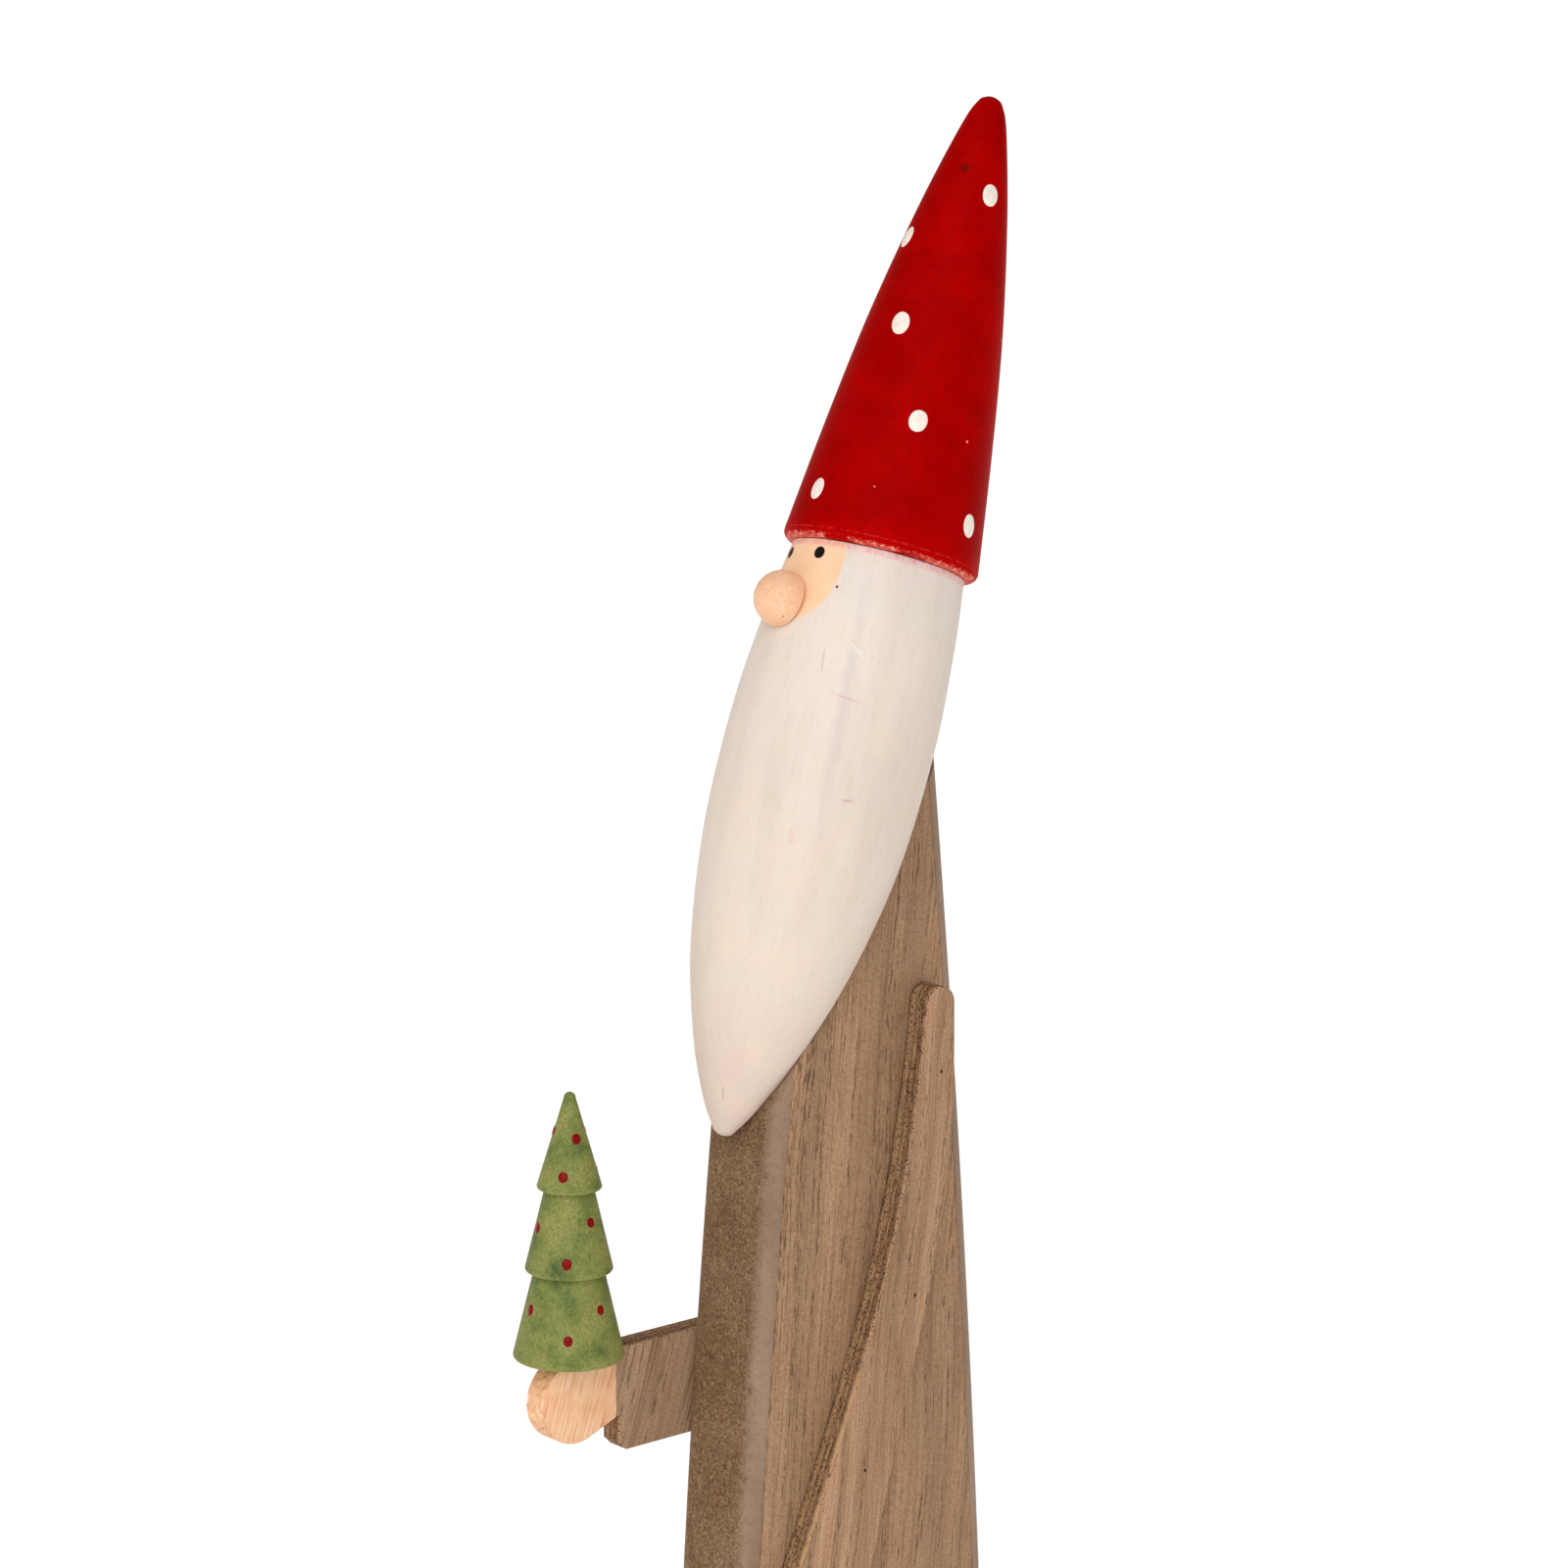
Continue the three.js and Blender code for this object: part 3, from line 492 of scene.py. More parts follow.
def addMark(tree, under, turn, height, mark):             # one mark on the paint, its edge broken up by noise
    radius = beardRadius(mark["height"])
    aside = addNode(tree, "Math",
                    {"operation": "MULTIPLY_ADD", 1: radius, 2: -radius * radians(mark["turn"])},
                    {0: turn})
    up = addNode(tree, "Math", {"operation": "MULTIPLY_ADD", 1: 1 / mm, 2: -mark["height"]}, {0: height})
    spot = addNode(tree, "CombineXYZ", None, {0: aside.outputs[0], 1: up.outputs[0]})
    laid = addNode(tree, "Mapping", {"vector_type": "TEXTURE", "Rotation": (0, 0, radians(mark["lean"])),
                                     "Scale": (mark["wide"] / 2, mark["tall"] / 2, 1)},
                   {"Vector": spot.outputs[0]})
    reach = addNode(tree, "VectorMath", {"operation": "LENGTH"}, {0: laid.outputs[0]})
    broken = addNode(tree, "TexNoise", {"Scale": mark["broken"], "Detail": 3}, {"Vector": spot.outputs[0]})
    edge = addNode(tree, "Math", {"operation": "ADD"}, {0: reach.outputs["Value"], 1: broken.outputs[0]})
    mask = addNode(tree, "MapRange",
                   {"From Min": 1.6, "From Max": 1.6 - mark["soft"], "To Max": mark["amount"]},
                   {"Value": edge.outputs[0]})
    return addNode(tree, "Mix", {"data_type": "RGBA", 7: hexColour(mark["colour"])},
                   {0: mask.outputs[0], 6: under}).outputs[2]


def beardPaint(face, marks):
    # thin off-white satin paint on turned softwood, rubbed smooth: the grain shows only faintly through it,
    # the face is a sprayed skin-coloured patch, and the hat's red has bled a little under its rim
    material, tree, place = startMaterial("thin off-white paint")
    own = addNode(tree, "Mapping", {"vector_type": "TEXTURE", "Location": headPlace.translation,
                                    "Rotation": headPlace.to_euler()}, {"Vector": place})
    local = addNode(tree, "SeparateXYZ", None, {0: own.outputs[0]})
    behind = addNode(tree, "Math", {"operation": "MULTIPLY", 1: -1}, {0: local.outputs["Y"]})
    turn = addNode(tree, "Math", {"operation": "ARCTAN2"}, {0: local.outputs["X"], 1: behind.outputs[0]})
    drawn = addNode(tree, "Mapping", {"vector_type": "TEXTURE", "Scale": (0.9 * mm, 0.9 * mm, 9 * mm)},
                    {"Vector": own.outputs[0]})
    grain = addNode(tree, "TexNoise", {"Scale": 1, "Detail": 3, "Roughness": 0.6},
                    {"Vector": drawn.outputs[0]})
    wide = addNode(tree, "Mapping", {"vector_type": "TEXTURE", "Scale": (13 * mm, 13 * mm, 90 * mm)},
                   {"Vector": own.outputs[0]})
    band = addNode(tree, "TexNoise", {"Scale": 1, "Detail": 2}, {"Vector": wide.outputs[0]})
    cloud = addNode(tree, "TexNoise", {"Scale": 1 / (17 * mm), "Detail": 4, "Roughness": 0.6},
                    {"Vector": place})
    share = addNode(tree, "MapRange", {"From Max": headLook["length"] * mm}, {"Value": local.outputs["Z"]})
    # warmer and darker towards the tip: the warm tone is the paint's own, and the darkening at the tip is
    # painted shade where the tip faces down
    toneAndTipShade = addNode(tree, "ValToRGB", {"stops": [(0.0, "#d5c1b4"), (0.3, "#dfd1c4"), (0.6, "#e0d3c7"),
                                                (0.85, "#e2d7cd"), (1.0, "#dcd3cc")]},
                   {"Fac": share.outputs[0]})
    streak = addNode(tree, "ValToRGB", {"stops": [(0.35, "#f6f4f3"), (0.55, "#ffffff")]},
                     {"Fac": band.outputs[0]})
    streaked = addNode(tree, "Mix", {"data_type": "RGBA", "blend_type": "MULTIPLY", 0: 0.8},
                       {6: toneAndTipShade.outputs[0], 7: streak.outputs[0]})
    thin = addNode(tree, "ValToRGB", {"stops": [(0.3, "#f8f5f2"), (0.5, "#ffffff")]},
                   {"Fac": grain.outputs[0]})
    grained = addNode(tree, "Mix", {"data_type": "RGBA", "blend_type": "MULTIPLY", 0: 0.8},
                      {6: streaked.outputs[2], 7: thin.outputs[0]})
    warm = addNode(tree, "MapRange", {"From Min": 0.5, "From Max": 0.72, "To Max": 0.3},
                   {"Value": cloud.outputs[0]})
    warmed = addNode(tree, "Mix", {"data_type": "RGBA", 7: hexColour("#ecd3b8")},
                     {0: warm.outputs[0], 6: grained.outputs[2]})
    hair = addNode(tree, "Mapping", {"vector_type": "TEXTURE", "Scale": (0.6 * mm, 0.6 * mm, 6 * mm)},
                   {"Vector": own.outputs[0]})
    scratch = addNode(tree, "TexNoise", {"Scale": 1, "Detail": 1}, {"Vector": hair.outputs[0]})
    dark = addNode(tree, "MapRange", {"From Min": 0.8, "From Max": 0.86, "To Max": 0.45},
                   {"Value": scratch.outputs[0]})
    scratched = addNode(tree, "Mix", {"data_type": "RGBA", 7: hexColour("#9c8e84")},
                        {0: dark.outputs[0], 6: warmed.outputs[2]})
    painted = scratched.outputs[2]
    for mark in marks:
        painted = addMark(tree, painted, turn.outputs[0], local.outputs["Z"], mark)
    # the face patch: a rounded shape on the surface, its distance as a share of the way to its edge
    aside = addNode(tree, "Math", {"operation": "SUBTRACT", 1: face["turn"]}, {0: turn.outputs[0]})
    sideways = addNode(tree, "Math",
                       {"operation": "MULTIPLY", 1: beardRadius(face["height"]) / face["halfWidth"]},
                       {0: aside.outputs[0]})
    up = addNode(tree, "MapRange", {"clamp": False, "From Min": face["height"] * mm,
                                    "From Max": (face["height"] + face["halfHeight"]) * mm},
                 {"Value": local.outputs["Z"]})
    shares = []
    for part in (sideways, up):
        size = addNode(tree, "Math", {"operation": "ABSOLUTE"}, {0: part.outputs[0]})
        shares.append(addNode(tree, "Math", {"operation": "POWER", 1: face["squareness"]},
                              {0: size.outputs[0]}))
    reach = addNode(tree, "Math", {"operation": "ADD"}, {0: shares[0].outputs[0], 1: shares[1].outputs[0]})
    inside = addNode(tree, "MapRange", {"From Min": 1.03, "From Max": 0.95}, {"Value": reach.outputs[0]})
    skin = addNode(tree, "ValToRGB", {"stops": [(0.3, "#f0c198"), (0.7, "#f8d2ac")]},
                   {"Fac": cloud.outputs[0]})
    faced = addNode(tree, "Mix", {"data_type": "RGBA"},
                    {0: inside.outputs[0], 6: painted, 7: skin.outputs[0]})
    # the bleed under the hat: how far below the rim's plane, in metres, made ragged
    outward = hatPlace.to_3x3() @ rimNormal
    level = addNode(tree, "VectorMath", {"operation": "DOT_PRODUCT", 1: -outward}, {0: place})
    below = addNode(tree, "Math", {"operation": "ADD", 1: outward.dot(hatPlace.translation)},
                    {0: level.outputs["Value"]})
    smear = addNode(tree, "TexNoise", {"Scale": 1 / (1.6 * mm), "Detail": 3, "Roughness": 0.7},
                    {"Vector": place})
    frayed = addNode(tree, "Math", {"operation": "MULTIPLY_ADD", 1: 3.6 * mm},
                     {0: smear.outputs[0], 2: below.outputs[0]})
    bleed = addNode(tree, "MapRange", {"From Min": 4.4 * mm, "From Max": 3.8 * mm, "To Max": 0.45},
                    {"Value": frayed.outputs[0]})
    tint = addNode(tree, "ValToRGB", {"stops": [(0.4, "#e9c9cc"), (0.55, "#e58a92"), (0.68, "#cc2630")]},
                   {"Fac": smear.outputs[0]})
    colour = addNode(tree, "Mix", {"data_type": "RGBA"},
                     {0: bleed.outputs[0], 6: faced.outputs[2], 7: tint.outputs[0]})
    ripple = addNode(tree, "TexNoise", {"Scale": 1 / (0.5 * mm), "Detail": 2}, {"Vector": place})
    height = addNode(tree, "Math", {"operation": "MULTIPLY_ADD", 1: 0.5},
                     {0: ripple.outputs[0], 2: grain.outputs[0]})
    bump = addNode(tree, "Bump", {"Strength": 0.25, "Distance": 0.05 * mm}, {"Height": height.outputs[0]})
    rough = addNode(tree, "MapRange", {"To Min": 0.45, "To Max": 0.6}, {"Value": cloud.outputs[0]})
    finishMaterial(tree, {"Specular IOR Level": 0.25}, {
        "Base Color": colour.outputs[2], "Roughness": rough.outputs[0], "Normal": bump.outputs[0]})
    return material


def hatPaint(smudge):
    # deep red satin paint, brushed on in two thin coats: faint clouds, a few chips, and a scuffed lower rim
    # where the undercoat shows orange and pink
    material, tree, place = startMaterial("deep red satin paint")
    above = addNode(tree, "Attribute", {"attribute_name": "aboveRim"}).outputs["Fac"]
    cloud = addNode(tree, "TexNoise", {"Scale": 1 / (19 * mm), "Detail": 5, "Roughness": 0.6},
                    {"Vector": place})
    brush = addNode(tree, "Mapping", {"vector_type": "TEXTURE", "Scale": (9 * mm, 9 * mm, 1.1 * mm)},
                    {"Vector": place})
    stroke = addNode(tree, "TexNoise", {"Scale": 1, "Detail": 3}, {"Vector": brush.outputs[0]})
    base = addNode(tree, "ValToRGB", {"stops": [(0.3, "#940000"), (0.5, "#9f0000"), (0.72, "#ad0000")]},
                   {"Fac": cloud.outputs[0]})
    ragged = addNode(tree, "TexNoise", {"Scale": 1 / (1.5 * mm), "Detail": 4, "Roughness": 0.7},
                     {"Vector": place})
    patch = addNode(tree, "TexNoise", {"Scale": 1 / (11 * mm), "Detail": 2}, {"Vector": place})
    level = addNode(tree, "Math", {"operation": "MULTIPLY_ADD", 1: -2.6}, {0: ragged.outputs[0], 2: above})
    lowEdge = addNode(tree, "MapRange", {"From Min": 0.05, "From Max": -0.75}, {"Value": level.outputs[0]})
    where = addNode(tree, "MapRange", {"From Min": 0.34, "From Max": 0.46}, {"Value": patch.outputs[0]})
    scuff = addNode(tree, "Math", {"operation": "MULTIPLY"}, {0: lowEdge.outputs[0], 1: where.outputs[0]})
    under = addNode(tree, "ValToRGB", {"stops": [(0.35, "#cc3a26"), (0.52, "#e07060"), (0.64, "#f2c0b4")]},
                    {"Fac": ragged.outputs[0]})
    scuffed = addNode(tree, "Mix", {"data_type": "RGBA"}, {0: scuff.outputs[0], 6: base.outputs[0],
                                                       7: under.outputs[0]})
    bright = addNode(tree, "MapRange", {"From Min": 9, "From Max": 2, "To Max": 0.25}, {"Value": above})
    brightened = addNode(tree, "Mix", {"data_type": "RGBA", 7: hexColour("#cf0204")},
                         {0: bright.outputs[0], 6: scuffed.outputs[2]})
    ridge = addNode(tree, "Math", {"operation": "SUBTRACT", 1: 3.0}, {0: above})
    ridgeSize = addNode(tree, "Math", {"operation": "ABSOLUTE"}, {0: ridge.outputs[0]})
    onRidge = addNode(tree, "MapRange", {"From Min": 0.3, "From Max": 0.05}, {"Value": ridgeSize.outputs[0]})
    broken = addNode(tree, "MapRange", {"From Min": 0.42, "From Max": 0.6, "To Max": 0.14},
                     {"Value": ragged.outputs[0]})
    line = addNode(tree, "Math", {"operation": "MULTIPLY"}, {0: onRidge.outputs[0], 1: broken.outputs[0]})
    ridged = addNode(tree, "Mix", {"data_type": "RGBA", 7: hexColour("#e58a78")},
                     {0: line.outputs[0], 6: brightened.outputs[2]})
    chips = addNode(tree, "TexNoise", {"Scale": 1 / (2.6 * mm), "Detail": 0}, {"Vector": place})
    chip = addNode(tree, "MapRange", {"From Min": 0.9, "From Max": 0.91, "To Max": 0.8},
                   {"Value": chips.outputs[0]})
    chipped = addNode(tree, "Mix", {"data_type": "RGBA", 7: hexColour("#e9a79a")},
                      {0: chip.outputs[0], 6: ridged.outputs[2]})
    mist = addNode(tree, "TexNoise", {"Scale": 1 / (3 * mm), "Detail": 5, "Roughness": 0.7},
                   {"Vector": place})
    dabs = addNode(tree, "ValToRGB", {"stops": [(0.3, "#efefef"), (0.55, "#ffffff")]},
                   {"Fac": mist.outputs[0]})
    misted = addNode(tree, "Mix", darken,
                     {6: chipped.outputs[2], 7: dabs.outputs[0]})
    start, reach = headRay(hatPlace, smudge["height"], radians(smudge["turn"]))
    near = addNode(tree, "VectorMath", {"operation": "DISTANCE", 1: start + reach * smudge["out"] * mm},
                   {0: place})
    rubbed = addNode(tree, "Math", {"operation": "MULTIPLY_ADD", 1: 2.4 * mm},
                     {0: ragged.outputs[0], 2: near.outputs["Value"]})
    dark = addNode(tree, "MapRange", {
        "From Min": (smudge["size"] + 1.4) * mm, "From Max": (smudge["size"] + 0.6) * mm,
        "To Max": 0.7}, {"Value": rubbed.outputs[0]})
    smudged = addNode(tree, "Mix", {"data_type": "RGBA", 7: hexColour("#5a0a05")},
                      {0: dark.outputs[0], 6: misted.outputs[2]})
    bump = addNode(tree, "Bump", {"Strength": 0.4, "Distance": 0.06 * mm}, {"Height": stroke.outputs[0]})
    rough = addNode(tree, "MapRange", {"To Min": 0.34, "To Max": 0.55}, {"Value": cloud.outputs[0]})
    finishMaterial(tree, {"Specular IOR Level": 0.008, "Sheen Weight": 0.1, "Sheen Roughness": 0.3,
                          "Sheen Tint": hexColour("#ff7a66")}, {
        "Base Color": smudged.outputs[2], "Roughness": rough.outputs[0], "Normal": bump.outputs[0]})
    return material


def thickPaint(name, codes, roughness, level):
    # thick hand-set drops of gloss paint: slightly uneven colour, smooth skin
    material, tree, place = startMaterial(name)
    cloud = addNode(tree, "TexNoise", {"Scale": 1 / (1.8 * mm), "Detail": 3}, {"Vector": place})
    base = addNode(tree, "ValToRGB", {"stops": [(0.3, codes[0]), (0.7, codes[1])]}, {"Fac": cloud.outputs[0]})
    bump = addNode(tree, "Bump", {"Strength": 0.3, "Distance": 0.05 * mm}, {"Height": cloud.outputs[0]})
    finishMaterial(tree, {"Roughness": roughness, "Specular IOR Level": level}, {
        "Base Color": base.outputs[0], "Normal": bump.outputs[0]})
    return material


def nosePaint():
    # skin-coloured paint rubbed thin on a wooden ball: fine mottling and small brown specks
    material, tree, place = startMaterial("rubbed skin paint")
    cloud = addNode(tree, "TexNoise", {"Scale": 1 / (5 * mm), "Detail": 4}, {"Vector": place})
    grit = addNode(tree, "TexNoise", {"Scale": 1 / (0.55 * mm), "Detail": 3}, {"Vector": place})
    base = addNode(tree, "ValToRGB", {"stops": [(0.3, "#ecba93"), (0.55, "#f2c4a0"), (0.75, "#f7cdab")]},
                   {"Fac": cloud.outputs[0]})
    fine = addNode(tree, "ValToRGB", {"stops": [(0.3, "#f2e2d4"), (0.55, "#ffffff")]},
                   {"Fac": grit.outputs[0]})
    gritty = addNode(tree, "Mix", darken,
                     {6: base.outputs[0], 7: fine.outputs[0]})
    specks = addNode(tree, "TexVoronoi", {"Scale": 1 / (4.2 * mm), "Randomness": 1.0}, {"Vector": place})
    speck = addNode(tree, "MapRange", {"From Min": 0.12, "From Max": 0.06, "To Max": 0.8},
                    {"Value": specks.outputs["Distance"]})
    specked = addNode(tree, "Mix", {"data_type": "RGBA", 7: hexColour("#8f5a35")},
                      {0: speck.outputs[0], 6: gritty.outputs[2]})
    bump = addNode(tree, "Bump", {"Strength": 0.4, "Distance": 0.06 * mm}, {"Height": grit.outputs[0]})
    finishMaterial(tree, {"Roughness": 0.5, "Specular IOR Level": 0.35}, {
        "Base Color": specked.outputs[2], "Normal": bump.outputs[0]})
    return material


def treePaint():
    # thin green paint dabbed on turned wood: yellow-green with cooler dark patches, and lighter yellow rims
    # that are partly rubbed paint and partly a painted highlight on the rims' rounding
    material, tree, place = startMaterial("thin mottled green paint")
    above = addNode(tree, "Attribute", {"attribute_name": "aboveTier"}).outputs["Fac"]
    cloud = addNode(tree, "TexNoise", {"Scale": 1 / (11 * mm), "Detail": 4, "Roughness": 0.55},
                    {"Vector": place})
    grit = addNode(tree, "TexNoise", {"Scale": 1 / (0.8 * mm), "Detail": 3}, {"Vector": place})
    base = addNode(tree, "ValToRGB", {"stops": [(0.3, "#4d612d"), (0.4, "#6a793a"), (0.52, "#848a47"),
                                                (0.7, "#939553")]}, {"Fac": cloud.outputs[0]})
    fine = addNode(tree, "ValToRGB", {"stops": [(0.3, "#ccccb8"), (0.6, "#ffffff")]},
                   {"Fac": grit.outputs[0]})
    gritty = addNode(tree, "Mix", darken,
                     {6: base.outputs[0], 7: fine.outputs[0]})
    # the lighter rim edges: rubbed paint, and partly a painted highlight where the rounding catches the light
    level = addNode(tree, "Math", {"operation": "MULTIPLY_ADD", 1: -3.0}, {0: grit.outputs[0], 2: above})
    rim = addNode(tree, "MapRange", {"From Min": 0.1, "From Max": -0.7, "To Max": 0.2},
                  {"Value": level.outputs[0]})
    rimsRubbedAndLit = addNode(tree, "Mix", {"data_type": "RGBA", 7: hexColour("#a39e55")},
                     {0: rim.outputs[0], 6: gritty.outputs[2]})
    bump = addNode(tree, "Bump", {"Strength": 0.5, "Distance": 0.1 * mm}, {"Height": grit.outputs[0]})
    finishMaterial(tree, {"Roughness": 0.62, "Specular IOR Level": 0.3}, {
        "Base Color": rimsRubbedAndLit.outputs[2], "Normal": bump.outputs[0]})
    return material


def bareBeech():
    # bare beech dowel: pale, with short darker flecks along the grain
    material, tree, place = startMaterial("bare beech")
    drawn = addNode(tree, "Mapping", {"vector_type": "TEXTURE", "Scale": (0.5 * mm, 0.5 * mm, 4 * mm)},
                    {"Vector": place})
    fleck = addNode(tree, "TexNoise", {"Scale": 1, "Detail": 2}, {"Vector": drawn.outputs[0]})
    base = addNode(tree, "ValToRGB", {"stops": [(0.3, "#b08a5c"), (0.5, "#cdaa7c"), (0.7, "#dbbd92")]},
                   {"Fac": fleck.outputs[0]})
    bump = addNode(tree, "Bump", {"Strength": 0.4, "Distance": 0.05 * mm}, {"Height": fleck.outputs[0]})
    finishMaterial(tree, {"Roughness": 0.7}, {"Base Color": base.outputs[0], "Normal": bump.outputs[0]})
    return material


def zincSteel():
    # zinc-plated steel: a grey metal with faint blotches from the plating bath
    material, tree, place = startMaterial("zinc-plated steel")
    blotch = addNode(tree, "TexNoise", {"Scale": 1 / (1.5 * mm), "Detail": 3}, {"Vector": place})
    base = addNode(tree, "ValToRGB", {"stops": [(0.3, "#8f9296"), (0.7, "#b4b6ba")]},
                   {"Fac": blotch.outputs[0]})
    rough = addNode(tree, "MapRange", {"To Min": 0.28, "To Max": 0.48}, {"Value": blotch.outputs[0]})
    finishMaterial(tree, {"Metallic": 1.0}, {"Base Color": base.outputs[0], "Roughness": rough.outputs[0]})
    return material


def holeDark():
    # the raw inside of a nail hole, near-black
    material, tree, place = startMaterial("near-black inside of a nail hole")
    soot = addNode(tree, "TexNoise", {"Scale": 1 / (0.4 * mm), "Detail": 2}, {"Vector": place})
    base = addNode(tree, "ValToRGB", {"stops": [(0.3, "#2b1b10"), (0.7, "#46301f")]},
                   {"Fac": soot.outputs[0]})
    finishMaterial(tree, {"Roughness": 0.95}, {"Base Color": base.outputs[0]})
    return material


faceLook = {
    "turn": radians(-6.5), "height": 189.5, "halfWidth": 17.3, "halfHeight": 20.5, "squareness": 2.2,
    "eyes": [(193.4, 6.5), (191.9, -27)],                 # height above the tip, degrees to the left
    "eyeWide": 4.2, "eyeTall": 4.2, "eyeRise": 0.35,
    "noseRadius": 9.5, "noseProud": 1.6, "noseDrop": 21.5, "noseTurn": radians(-7),
}
beardMarks = [                                            # on the beard: degrees to the left, millimetres
    # a long grey-lilac band down the beard's left front: painted shade
    {"height": 146, "turn": 50, "wide": 5.5, "tall": 105, "lean": 4.5, "broken": 0.2, "soft": 0.9,
     "amount": 0.3, "colour": "#bdb2ba"},
    {"height": 149, "turn": 51, "wide": 12, "tall": 0.9, "lean": -6, "broken": 0.9, "soft": 0.5,
     "amount": 0.4, "colour": "#dd9a98"},
    {"height": 117, "turn": 66, "wide": 4.4, "tall": 1.1, "lean": 12, "broken": 1.1, "soft": 0.4,
     "amount": 0.6, "colour": "#cf9aa6"},
    {"height": 101, "turn": 41, "wide": 2.8, "tall": 7, "lean": 10, "broken": 0.8, "soft": 0.6,
     "amount": 0.32, "colour": "#e0b0a8"},
    {"height": 165, "turn": 49, "wide": 9, "tall": 0.5, "lean": -36, "broken": 0.4, "soft": 0.4,
     "amount": 0.6, "colour": "#f6efe8"},
    {"height": 159, "turn": 32, "wide": 0.7, "tall": 9, "lean": 8, "broken": 0.5, "soft": 0.4,
     "amount": 0.4, "colour": "#a5988e"},
    {"height": 14, "turn": 30, "wide": 0.9, "tall": 5, "lean": 8, "broken": 0.9, "soft": 0.5,
     "amount": 0.4, "colour": "#a08c84"},
    {"height": 24, "turn": 40, "wide": 11, "tall": 13, "lean": 0, "broken": 0.35, "soft": 1.1,
     "amount": 0.22, "colour": "#e3b4aa"},
    {"height": 183.5, "turn": 27, "wide": 1.1, "tall": 1.1, "lean": 0, "broken": 0.3, "soft": 0.4,
     "amount": 1.0, "colour": "#9c1012"},
]
slabBand = {"from": 18, "full": 22.2}                     # from the middle out, where sawn turns to sanded and to the painted highlight of the rounding
plateBand = {"from": -8, "full": 12}
hatSmudge = {"height": 132.3, "turn": 33, "out": 11.7, "size": 1.7}
boardMaterial = fibreboard("stained fibreboard", slabBand)
plateMaterial = fibreboard("smooth stained fibreboard", plateBand)
slabVeneer = openVeneer("open-pored stained veneer", -0.085, ("#a08266", "#ad8d6f", "#b89677", "#513b28"),
                        0.0)
armVeneer = openVeneer("stained plywood face", -0.12, ("#9d7f62", "#b39274", "#caa786", "#5a4330"), 0.37)
forearmVeneer = openVeneer("stained plywood face, inner", -0.36, ("#957b63", "#a98c72", "#ba9e82", "#5c4736"),
                           0.71)
skinPaint = handPaint("brushed skin paint", -0.33, ("#ecb58b", "#f3c097", "#f8cba3", 0.78))
skinEdge = handPaint("skin paint on a sawn edge", -0.12, ("#dba57b", "#e8b489", "#f1c398", 0.66))
offWhite = beardPaint(faceLook, beardMarks)
redPaint = hatPaint(hatSmudge)
whiteDrops = thickPaint("thick cream-white paint", ("#e6d9ce", "#f6ece2"), 0.4, 0.4)
redDrops = thickPaint("thick red gloss paint", ("#6f0403", "#8a0807"), 0.35, 0.1)
blackDrops = thickPaint("black gloss paint", ("#050505", "#0c0c0c"), 0.3, 0.15)
greenPaint = treePaint()
beech = bareBeech()
steel = zincSteel()
darkHole = holeDark()
skinBall = nosePaint()
print("materials made")


# Base plate

baseLook = {"corner": 12, "rounding": 2, "head": 4.3, "shank": 2.3, "sink": 2.9}


def makeBase():
    low, high = (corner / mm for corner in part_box("base_plate"))
    r = baseLook["corner"]
    outline = []
    for sideX, sideY, first in ((1, -1, -pi / 2), (1, 1, 0), (-1, 1, pi / 2), (-1, -1, pi)):
        outline += roundEnd((sideX * (high.x - r), sideY * (high.y - r)), r, first, first + pi / 2, 14)
    bm = bmesh.new()
    growFace(bm, [(p.x * mm, p.y * mm, low.z * mm) for p in outline], (0, 0, (high.z - low.z) * mm))
    rim = [e for e in bm.edges if all(abs(v.co.z - high.z * mm) < same for v in e.verts)]
    roundEdges(bm, rim, baseLook["rounding"], 6)
    plate = makePiece(bm, "basePlate", [plateMaterial])
    drills = []
    for node in ("base_screw_front", "base_screw_rear"):
        middle = sum(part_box(node), Vector()) / 2
        past = 5
        bm = turnProfile([(0, -past), (baseLook["head"], -past), (baseLook["head"], 0.3),
                          (baseLook["shank"], baseLook["sink"]), (baseLook["shank"], high.z + past),
                          (0, high.z + past)], 32)
        bmesh.ops.translate(bm, verts=bm.verts, vec=(middle.x, middle.y, 0))
        drills.append(looseDrill(bm, [plateMaterial]))
    cutAway(plate, drills)
    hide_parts("base_plate")


# Slab body with its veneers

def slabOutline(past):
    foot, top, steps = coreLow.z - past, coreHigh.z + past, 48
    levels = [foot + (top - foot) * i / steps for i in range(steps + 1)]
    return [Vector((frontY(z), z)) for z in levels] + [Vector((backY(z), z)) for z in reversed(levels)]


def trimSlab(bm):
    cutFlat(bm, seat * mm, seatNormal)
    cutFlat(bm, Vector((0, 0, coreLow.z * mm)), Vector((0, 0, -1)))


